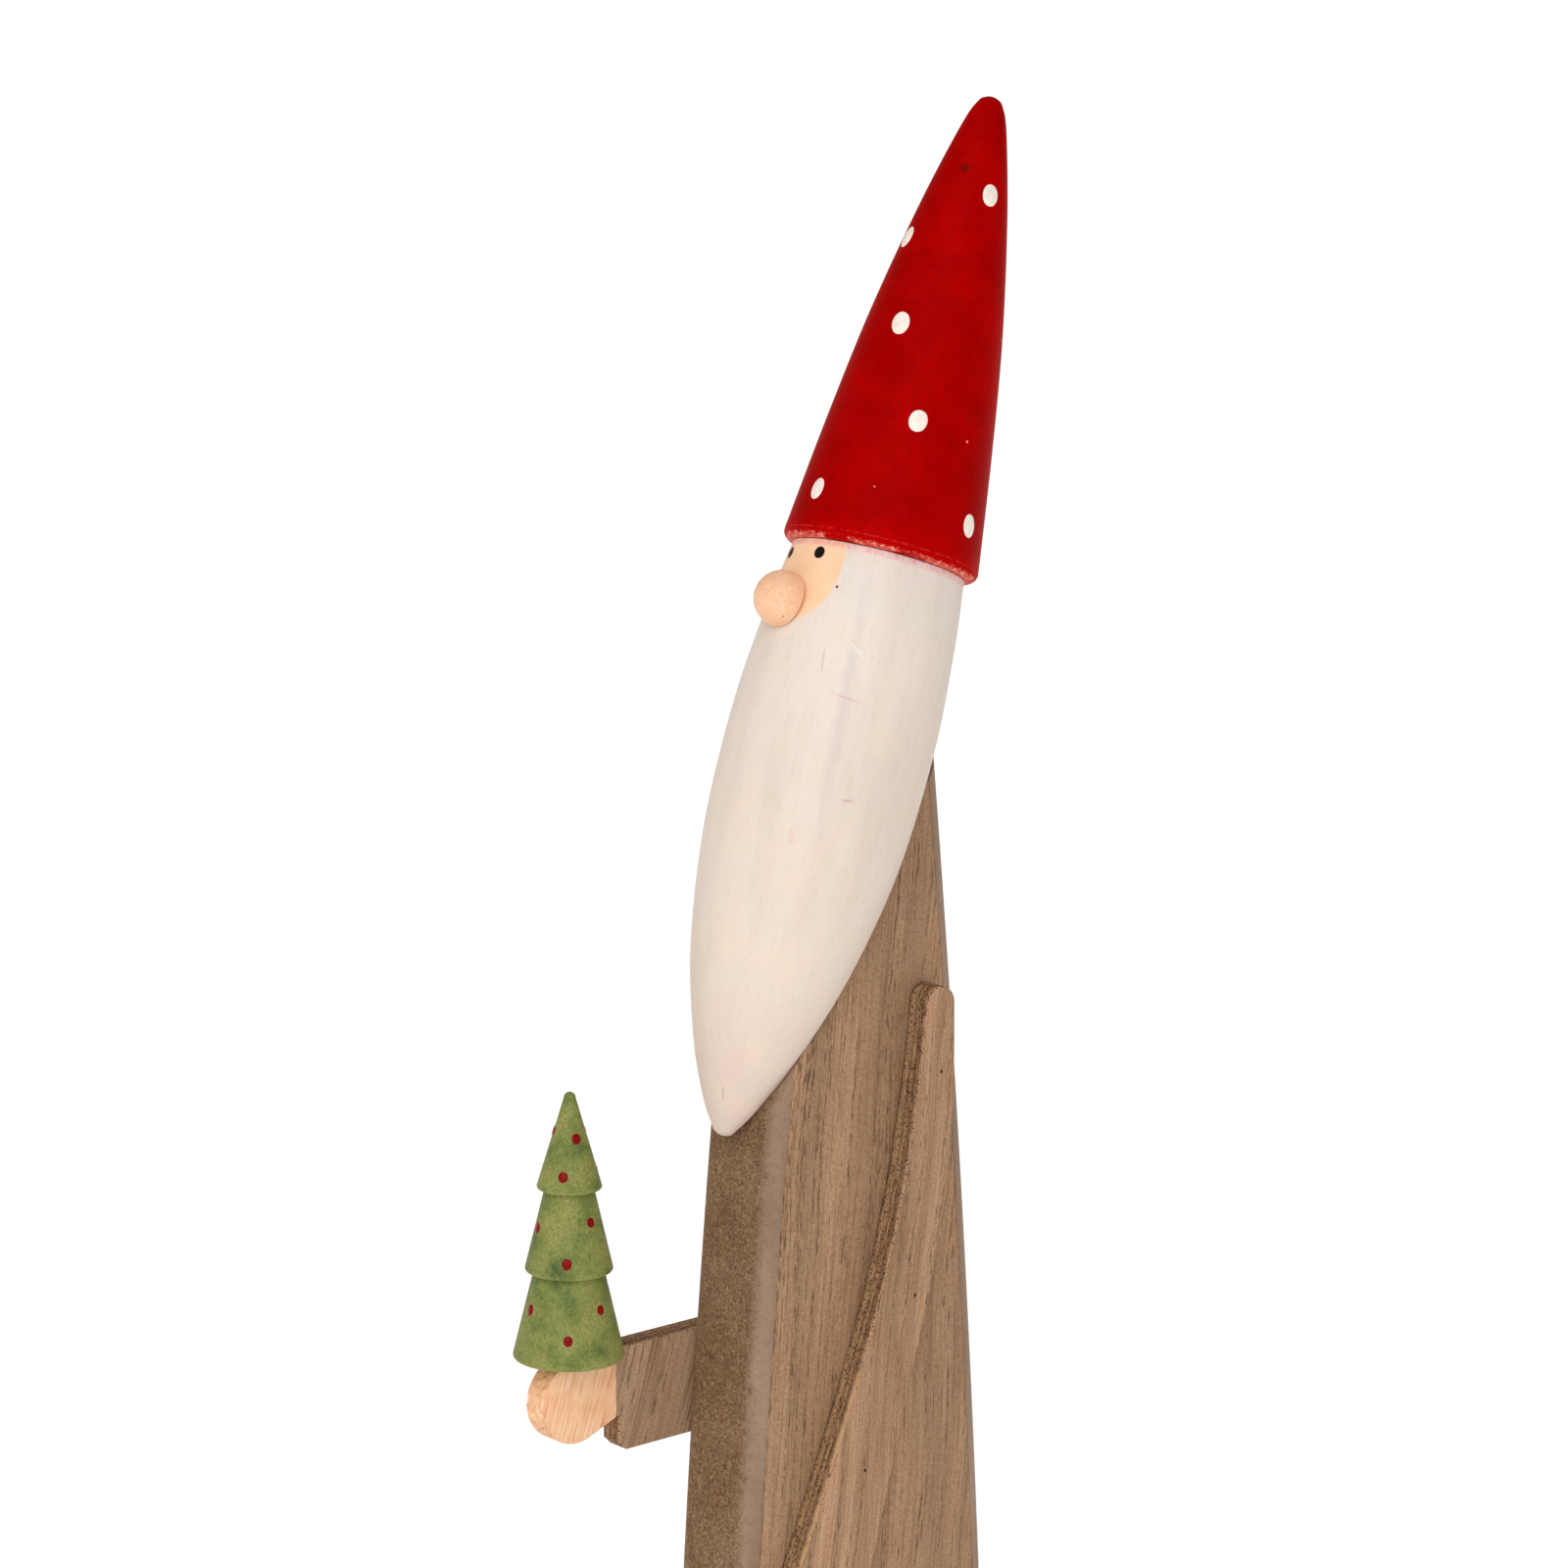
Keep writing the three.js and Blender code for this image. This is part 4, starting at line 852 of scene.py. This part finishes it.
def makeSlab():
    half = coreHigh.x
    bm = cutBoard(slabOutline(30), -half, half, 0)
    long = [e for e in bm.edges if abs(e.verts[0].co.x - e.verts[1].co.x) < same
            and abs(e.calc_face_angle(0)) > 0.5 and abs(e.verts[0].co.z - e.verts[1].co.z) > 1 * mm]
    roundEdges(bm, long, slabLook["rounding"], 9)
    flats = [f for f in bm.faces if abs(f.normal.x) > 0.999 and f.calc_area() > 0.01]
    sheets = {}
    for flat in flats:                                    # each veneer is copied from the face it lies in
        name = "veneerLeft" if flat.normal.x > 0 else "veneerRight"
        outline = [Vector((v.co.y, v.co.z)) / mm for v in flat.verts]
        sheets[name] = (outline, half - slabLook["veneer"], half)
    bmesh.ops.inset_individual(bm, faces=flats, thickness=0.02 * mm, depth=0)
    sunk = bmesh.ops.extrude_discrete_faces(bm, faces=flats)["faces"]
    for f in sunk:
        bmesh.ops.translate(bm, verts=f.verts, vec=-f.normal * (slabLook["veneer"] + slabLook["joint"]) * mm)
    for f in bm.faces:
        f.material_index = 0
    trimSlab(bm)
    slab = makePiece(bm, "slab", [boardMaterial])
    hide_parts("body_core")
    for name, (outline, low, high) in sheets.items():
        side = 1 if name == "veneerLeft" else -1
        sheet = cutBoard(outline, min(side * low, side * high), max(side * low, side * high), 0)
        middle = (frontY(300) + backY(300)) / 2 * mm
        for v in sheet.verts:                             # leaves the hairline to the core
            v.co.y += slabLook["joint"] * mm * (1 if v.co.y < middle else -1)
        trimSlab(sheet)
        for f in sheet.faces:
            f.material_index = 0
        rims = [e for e in sheet.edges if all(abs(abs(v.co.x) - half * mm) < same for v in e.verts)]
        roundEdges(sheet, rims, slabLook["veneerEdge"], 2)
        piece = makePiece(sheet, name, [slabVeneer])
        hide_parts("body_veneer_left" if side > 0 else "body_veneer_right")


# Head: beard, face, nose

def makeBeard():
    bm = turnProfile([*beardCurve, (0, beardCurve[-1].y)], headLook["steps"])
    bmesh.ops.transform(bm, matrix=headPlace, verts=bm.verts)
    cutFlat(bm, hatPlace.translation, hatPlace.to_3x3() @ rimNormal)
    cutFlat(bm, (seat + seatNormal * 0.3) * mm, -seatNormal)
    surface = BVHTree.FromBMesh(bm)
    beard = makePiece(bm, "beard", [offWhite])
    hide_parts("head_beard")
    return surface


def makeEyes(surface):
    bm = bmesh.new()
    up = headPlace.to_3x3() @ Vector((0, 0, 1))
    for height, turn in faceLook["eyes"]:
        place = surfaceFrame(surface, *headRay(headPlace, height, radians(turn)), up)
        addDrop(bm, place, faceLook["eyeWide"], faceLook["eyeTall"], faceLook["eyeRise"], 0.15)
    eyes = makePiece(bm, "eyes", [blackDrops])


def makeNose():
    height = headLook["length"] - faceLook["noseDrop"]
    lift = atan(-(beardRadius(height + 1) - beardRadius(height - 1)) / 2)
    place = (headPlace @ Matrix.Rotation(faceLook["noseTurn"], 4, "Z")
             @ Matrix.Translation((0, -beardRadius(height) * mm, height * mm))
             @ Matrix.Rotation(pi / 2 - lift, 4, "X"))
    bm = bmesh.new()
    ball = Matrix.Translation((0, 0, faceLook["noseProud"] * mm))
    bmesh.ops.create_icosphere(bm, subdivisions=5, radius=faceLook["noseRadius"] * mm, matrix=ball)
    cutFlat(bm, Vector((0, 0, 0.05 * mm)), Vector((0, 0, -1)))
    bmesh.ops.transform(bm, matrix=place, verts=bm.verts)
    nose = makePiece(bm, "nose", [skinBall])
    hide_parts("nose")


# Hat

dotLook = {
    "wide": 5.9, "tall": 7.6, "rise": 0.45, "sink": 0.2,
    "places": [(125.6, 80), (106.4, -19), (76.9, 18), (46.4, 51), (17.8, -5.7), (17.6, 103.4),
               (125.6, -105), (106.4, 168), (76.9, 152), (76.9, -92), (46.4, 172), (46.4, -68), (17.8, -135)],
}


def hatRim():
    seatShare = next(r for r, h in headLook["shape"] if h == 1)
    return headLook["radius"] * seatShare + hatLook["overhang"]


def makeHat():
    rim, soft, length = hatRim(), hatLook["rounding"], hatLook["length"]
    profile = [(0, 0), (rim * 0.5, 0)]
    for i in range(9):
        turn = pi / 2 * i / 9
        profile.append((rim - soft * (1 - sin(turn)), soft * (1 - cos(turn))))
    profile += smoothCurve([(r * rim, h * length) for r, h in hatLook["shape"]], 12)
    bm = turnProfile(profile, hatLook["steps"])
    above = bm.verts.layers.float.new("aboveRim")
    for v in bm.verts:
        v[above] = v.co.z / mm
        rise = hatLook["riseLeft"] * v.co.x - hatLook["riseFront"] * v.co.y
        v.co.z += rise * (1 - v.co.z / mm / length) + hatLook["glue"] * mm
    over = max((hatPlace @ v.co).z for v in bm.verts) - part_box("hat")[1].z
    for v in bm.verts:                                    # brings the finer tip down to the frame's height
        v.co.z -= over * max(v.co.z / mm / length, 0) ** 2 / cos(hatLook["tilt"])
    bmesh.ops.transform(bm, matrix=hatPlace, verts=bm.verts)
    surface = BVHTree.FromBMesh(bm)
    hat = makePiece(bm, "hat", [redPaint])
    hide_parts("hat")
    return surface


def makeHatDots(surface):
    hand = random.Random(4)
    bm = bmesh.new()
    up = hatPlace.to_3x3() @ Vector((0, 0, 1))
    for height, turn in dotLook["places"]:
        place = surfaceFrame(surface, *headRay(hatPlace, height, radians(turn)), up)
        place = place @ Matrix.Rotation(radians(hand.uniform(-8, 8)), 4, "Z")
        wide, tall = dotLook["wide"] * hand.uniform(0.95, 1.05), dotLook["tall"] * hand.uniform(0.95, 1.05)
        addDrop(bm, place, wide, tall, dotLook["rise"], dotLook["sink"])
    dots = makePiece(bm, "hatDots", [whiteDrops])


# Arms

armLook = {
    "shoulderRise": 28, "shoulderInset": 15.8, "shoulder": 6.2, "rounding": 1,
    "cuff": 36.2, "wrist": 23.4, "step": 1.4,
    "handReach": 19.4, "hand": 14.4, "handStep": 0.6, "palm": radians(18),
    "forearm": 100.6, "elbowDrop": 145.8, "elbow": 22,
    "leftCuff": (-73.4, -212), "leftSwing": radians(23.5), "paintLine": 3,
    "hole": 0.55, "holeDeep": 0.42, "holeTall": 1.3,      # the nail holes, slightly taller than wide
}
shoulderZ = seat.z + armLook["shoulderRise"]
shoulderY = backY(shoulderZ) - armLook["shoulderInset"]


def handOutline(cuff, along):
    across = Vector((-along.y, along.x))
    made = [cuff.copy(), cuff + across * armLook["handStep"]]
    sweep = pi + armLook["palm"]
    for i in range(37):
        turn = sweep * i / 36
        made.append(cuff + along * (armLook["handReach"] + armLook["hand"] * sin(turn))
                    + across * (armLook["handStep"] + armLook["hand"] * (1 - cos(turn))))
    step = armLook["step"]
    for d, h in ((step, armLook["wrist"]), (step, armLook["cuff"] - 2 * step), (-step, armLook["cuff"])):
        made.append(cuff + along * d + across * h)
    return made


def rightOutline():
    r, drop, bend = armLook["shoulder"], armLook["elbowDrop"], armLook["elbow"]
    top = armLook["cuff"] - drop
    made = handOutline(Vector((-armLook["forearm"], top)), Vector((-1, 0)))
    made += [Vector((r - bend, -drop))]
    made += bentLine((r - bend, -drop), (r + 2, -drop), (r + 3, bend - drop))
    made += bentLine((r + 3, bend - drop), (r + 3.5, -60), (r, 0))
    made += roundEnd((0, 0), r, 0, pi)[1:]
    made += bentLine((-r, 0), (-r - 4, -50), (-r - 11, top + 20))
    made += bentLine((-r - 11, top + 20), (-r - 15, top), (-r - 34, top))
    return made


def leftOutline():
    cuff, r = Vector(armLook["leftCuff"]), armLook["shoulder"]
    swing = armLook["leftSwing"]
    made = handOutline(cuff, Vector((-sin(swing), -cos(swing))))
    made += smoothCurve([made[-1], (-17, -144), (1, -77), (5.8, -35), (r, 0)], 10)[1:]
    made += roundEnd((0, 0), r, 0, pi)[1:]
    made += smoothCurve([(-r, 0), (-9.8, -27), (-19.3, -73), (-37.4, -127), cuff], 10)[1:-1]
    return made


def makeArm(node, name, outline, cuff, along, faceMaterial, edgeMaterial):
    low, high = (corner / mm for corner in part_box(node))
    shoulder = Vector((shoulderY, shoulderZ))
    bm = cutBoard([p + shoulder for p in outline], low.x, high.x, armLook["rounding"])
    line = cuff + shoulder + along * armLook["paintLine"]
    outward = Vector((0, along.x, along.y))
    cutFlat(bm, Vector((0, line.x, line.y)) * mm, outward, closed=False)
    for f in bm.faces:
        if (f.calc_center_median() - Vector((0, line.x, line.y)) * mm).dot(outward) > 0:
            f.material_index += 2
    arm = makePiece(bm, name, [faceMaterial, edgeMaterial, skinPaint, skinEdge, darkHole])
    side = 1 if low.x > 0 else -1
    face = high.x if side > 0 else low.x
    drills = []
    for i in (1, 2, 3):
        middle = sum(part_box(f"{node}_brad_{i}"), Vector()) / 2
        pin = bmesh.new()
        bmesh.ops.create_icosphere(pin, subdivisions=3, radius=1, matrix=Matrix.Diagonal(
            (armLook["holeDeep"] * mm, armLook["hole"] * mm, armLook["holeTall"] * armLook["hole"] * mm, 1)))
        bmesh.ops.translate(pin, verts=pin.verts, vec=(face * mm, middle.y, middle.z))
        drills.append(looseDrill(pin, [darkHole]))
    cutAway(arm, drills)
    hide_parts(node)
    return arm


# Little tree

treeLook = {
    "top": 90.2, "tilt": radians(0.9), "rounding": 0.9, "steps": 96, "glue": 0.3,
    "tiers": [(18.5, 11.7, 0), (14.6, 8.2, 29.7), (10.8, 2, 57.6)],     # rim, neck, height
    "berry": 3.0, "berryRise": 0.3,
    "berries": [(77.2, -33), (75.6, 75.5), (77, 170), (77, -120), (63.6, 39), (63.6, 160), (63.6, -85),
                (45.1, -17), (47.9, 94.5), (45.5, -140), (35.3, 49), (35.3, 170), (35.3, -78),
                (17.9, -9), (18.7, 99), (16.5, -150), (10, 51), (10, 165), (10, -80)],
}


def makeTree():
    low, high = (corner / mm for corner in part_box("tree"))
    tiers, blunt, tilt = treeLook["tiers"], treeLook["rounding"], treeLook["tilt"]
    profile = [(0, 0)]
    for i, (rim, neck, height) in enumerate(tiers):
        last = i + 1 == len(tiers)
        top = treeLook["top"] - neck if last else tiers[i + 1][2]
        for k in range(5):                                # the rim's small rounding
            turn = pi / 2 * k / 4
            profile.append((rim - blunt * (1 - sin(turn)), height + blunt * (1 - cos(turn))))
        for k in range(1, 9):
            share = k / 8
            profile.append((rim + (neck - rim) * share, height + blunt + (top - height - blunt) * share))
    tip = tiers[-1][1]
    for k in range(1, 7):
        turn = pi / 2 * k / 6
        profile.append((tip * cos(turn), treeLook["top"] - tip + tip * sin(turn)))
    bm = turnProfile(profile, treeLook["steps"])
    layer = bm.verts.layers.float.new("aboveTier")
    for v in bm.verts:
        z = v.co.z / mm
        v[layer] = min(z - height for _, _, height in tiers if z - height > -0.01)
    lift = treeLook["glue"] + tiers[0][0] * sin(tilt)     # its low side just clears the hand
    foot = Vector(((low.x + high.x) / 2, low.y + tiers[0][0] * cos(tilt) - (lift + blunt) * sin(tilt),
                   low.z + (tiers[0][0] - blunt) * sin(tilt) - lift * cos(tilt)))
    place = (Matrix.Translation(foot * mm) @ Matrix.Rotation(-tilt, 4, "X")
             @ Matrix.Translation((0, 0, lift * mm)))
    bmesh.ops.transform(bm, matrix=place, verts=bm.verts)
    surface = BVHTree.FromBMesh(bm)
    piece = makePiece(bm, "tree", [greenPaint])
    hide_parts("tree")
    berries = bmesh.new()
    hand = random.Random(9)
    for height, turn in treeLook["berries"]:
        spot = surfaceFrame(surface, *headRay(place, height, radians(turn)), Vector((0, 0, 1)))
        size = treeLook["berry"] * hand.uniform(0.93, 1.05)
        addDrop(berries, spot, size, size * hand.uniform(1.15, 1.3), treeLook["berryRise"], 0.3)
    drops = makePiece(berries, "treeBerries", [redDrops])


def dressHardware():                                      # the dowels, brads and screws keep their CAD shape
    for node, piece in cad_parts.items():
        wanted = beech if "dowel" in node else steel if "screw" in node or "brad" in node else boardMaterial
        piece.data.materials.clear()
        piece.data.materials.append(wanted)


makeBase()
makeSlab()
print("base and slab made")
beardSurface = makeBeard()
makeEyes(beardSurface)
makeNose()
makeHatDots(makeHat())
print("head and hat made")
wornCorner = {"wide": 2.6, "top": 345, "foot": 236}       # where the left arm's stain is rubbed off
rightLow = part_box("right_arm")[0].x / mm
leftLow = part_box("left_arm")[0].x / mm
thickness = (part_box("left_arm")[1].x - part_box("left_arm")[0].x) / mm
makeArm("left_arm", "leftArm", leftOutline(), Vector(armLook["leftCuff"]),
        Vector((-sin(armLook["leftSwing"]), -cos(armLook["leftSwing"]))), armVeneer,
        plyEdge("stained ply edge, left", leftLow, thickness, wornCorner))
rightCuff = Vector((-armLook["forearm"], armLook["cuff"] - armLook["elbowDrop"]))
makeArm("right_arm", "rightArm", rightOutline(), rightCuff, Vector((-1, 0)), forearmVeneer,
        plyEdge("stained ply edge, right", rightLow, thickness, None))
print("arms made")
makeTree()
dressHardware()
print("tree made and hardware dressed")


# Floor, light and camera

studioLook = {
    "floor": 30, "floorGlow": 0.36,                       # half width in metres, and a lift towards white
    "world": 0.52, "worldColour": (1.0, 0.95, 0.9, 1),
    "sun": 1.55, "sunSoft": radians(50), "sunHeight": radians(33), "sunAside": radians(12),
    "aim": (0, -22.2, 529.35), "around": radians(49.579), "down": radians(11.758), "distance": 1651.8,
    "lens": 115.09, "sensor": 36, "farthest": 200,
}


def makeStudio():
    bm = bmesh.new()
    bmesh.ops.create_grid(bm, x_segments=8, y_segments=8, size=studioLook["floor"])
    mesh = bpy.data.meshes.new("floor")
    bm.to_mesh(mesh)
    bm.free()
    floor = addObject("floor", mesh)
    material, tree, place = startMaterial("matt white sweep")
    faint = addNode(tree, "TexNoise", {"Scale": 1.5, "Detail": 2}, {"Vector": place})
    base = addNode(tree, "ValToRGB", {"stops": [(0.3, "#f7f7f7"), (0.7, "#f9f9f9")]},
                   {"Fac": faint.outputs[0]})
    finishMaterial(tree, {"Roughness": 1.0, "Specular IOR Level": 0.0, "Emission Color": (1, 1, 1, 1),
                          "Emission Strength": studioLook["floorGlow"]}, {"Base Color": base.outputs[0]})
    mesh.materials.append(material)
    world = bpy.data.worlds.new("studio")
    world.use_nodes = True
    world.node_tree.nodes["Background"].inputs["Color"].default_value = studioLook["worldColour"]
    world.node_tree.nodes["Background"].inputs["Strength"].default_value = studioLook["world"]
    bpy.context.scene.world = world
    around, down = studioLook["around"], studioLook["down"]
    back = Vector((sin(around) * cos(down), -cos(around) * cos(down), sin(down)))
    lamp = bpy.data.lights.new("softSun", "SUN")
    lamp.energy = studioLook["sun"]
    lamp.angle = studioLook["sunSoft"]
    sun = addObject("softSun", lamp)
    sun.matrix_world = (Matrix.Rotation(around - studioLook["sunAside"], 4, "Z")
                        @ Matrix.Rotation(pi / 2 - studioLook["sunHeight"], 4, "X"))
    view = bpy.data.cameras.new("view")
    view.lens = studioLook["lens"]
    view.sensor_width = studioLook["sensor"]
    view.clip_end = studioLook["farthest"]
    camera = addObject("view", view)
    turn = Matrix.Rotation(around, 4, "Z") @ Matrix.Rotation(pi / 2 - down, 4, "X")
    spot = (Vector(studioLook["aim"]) + back * studioLook["distance"]) * mm
    camera.matrix_world = Matrix.Translation(spot) @ turn
    bpy.context.scene.camera = camera
    bpy.context.scene.view_settings.view_transform = "Standard"


makeStudio()
print("studio made")
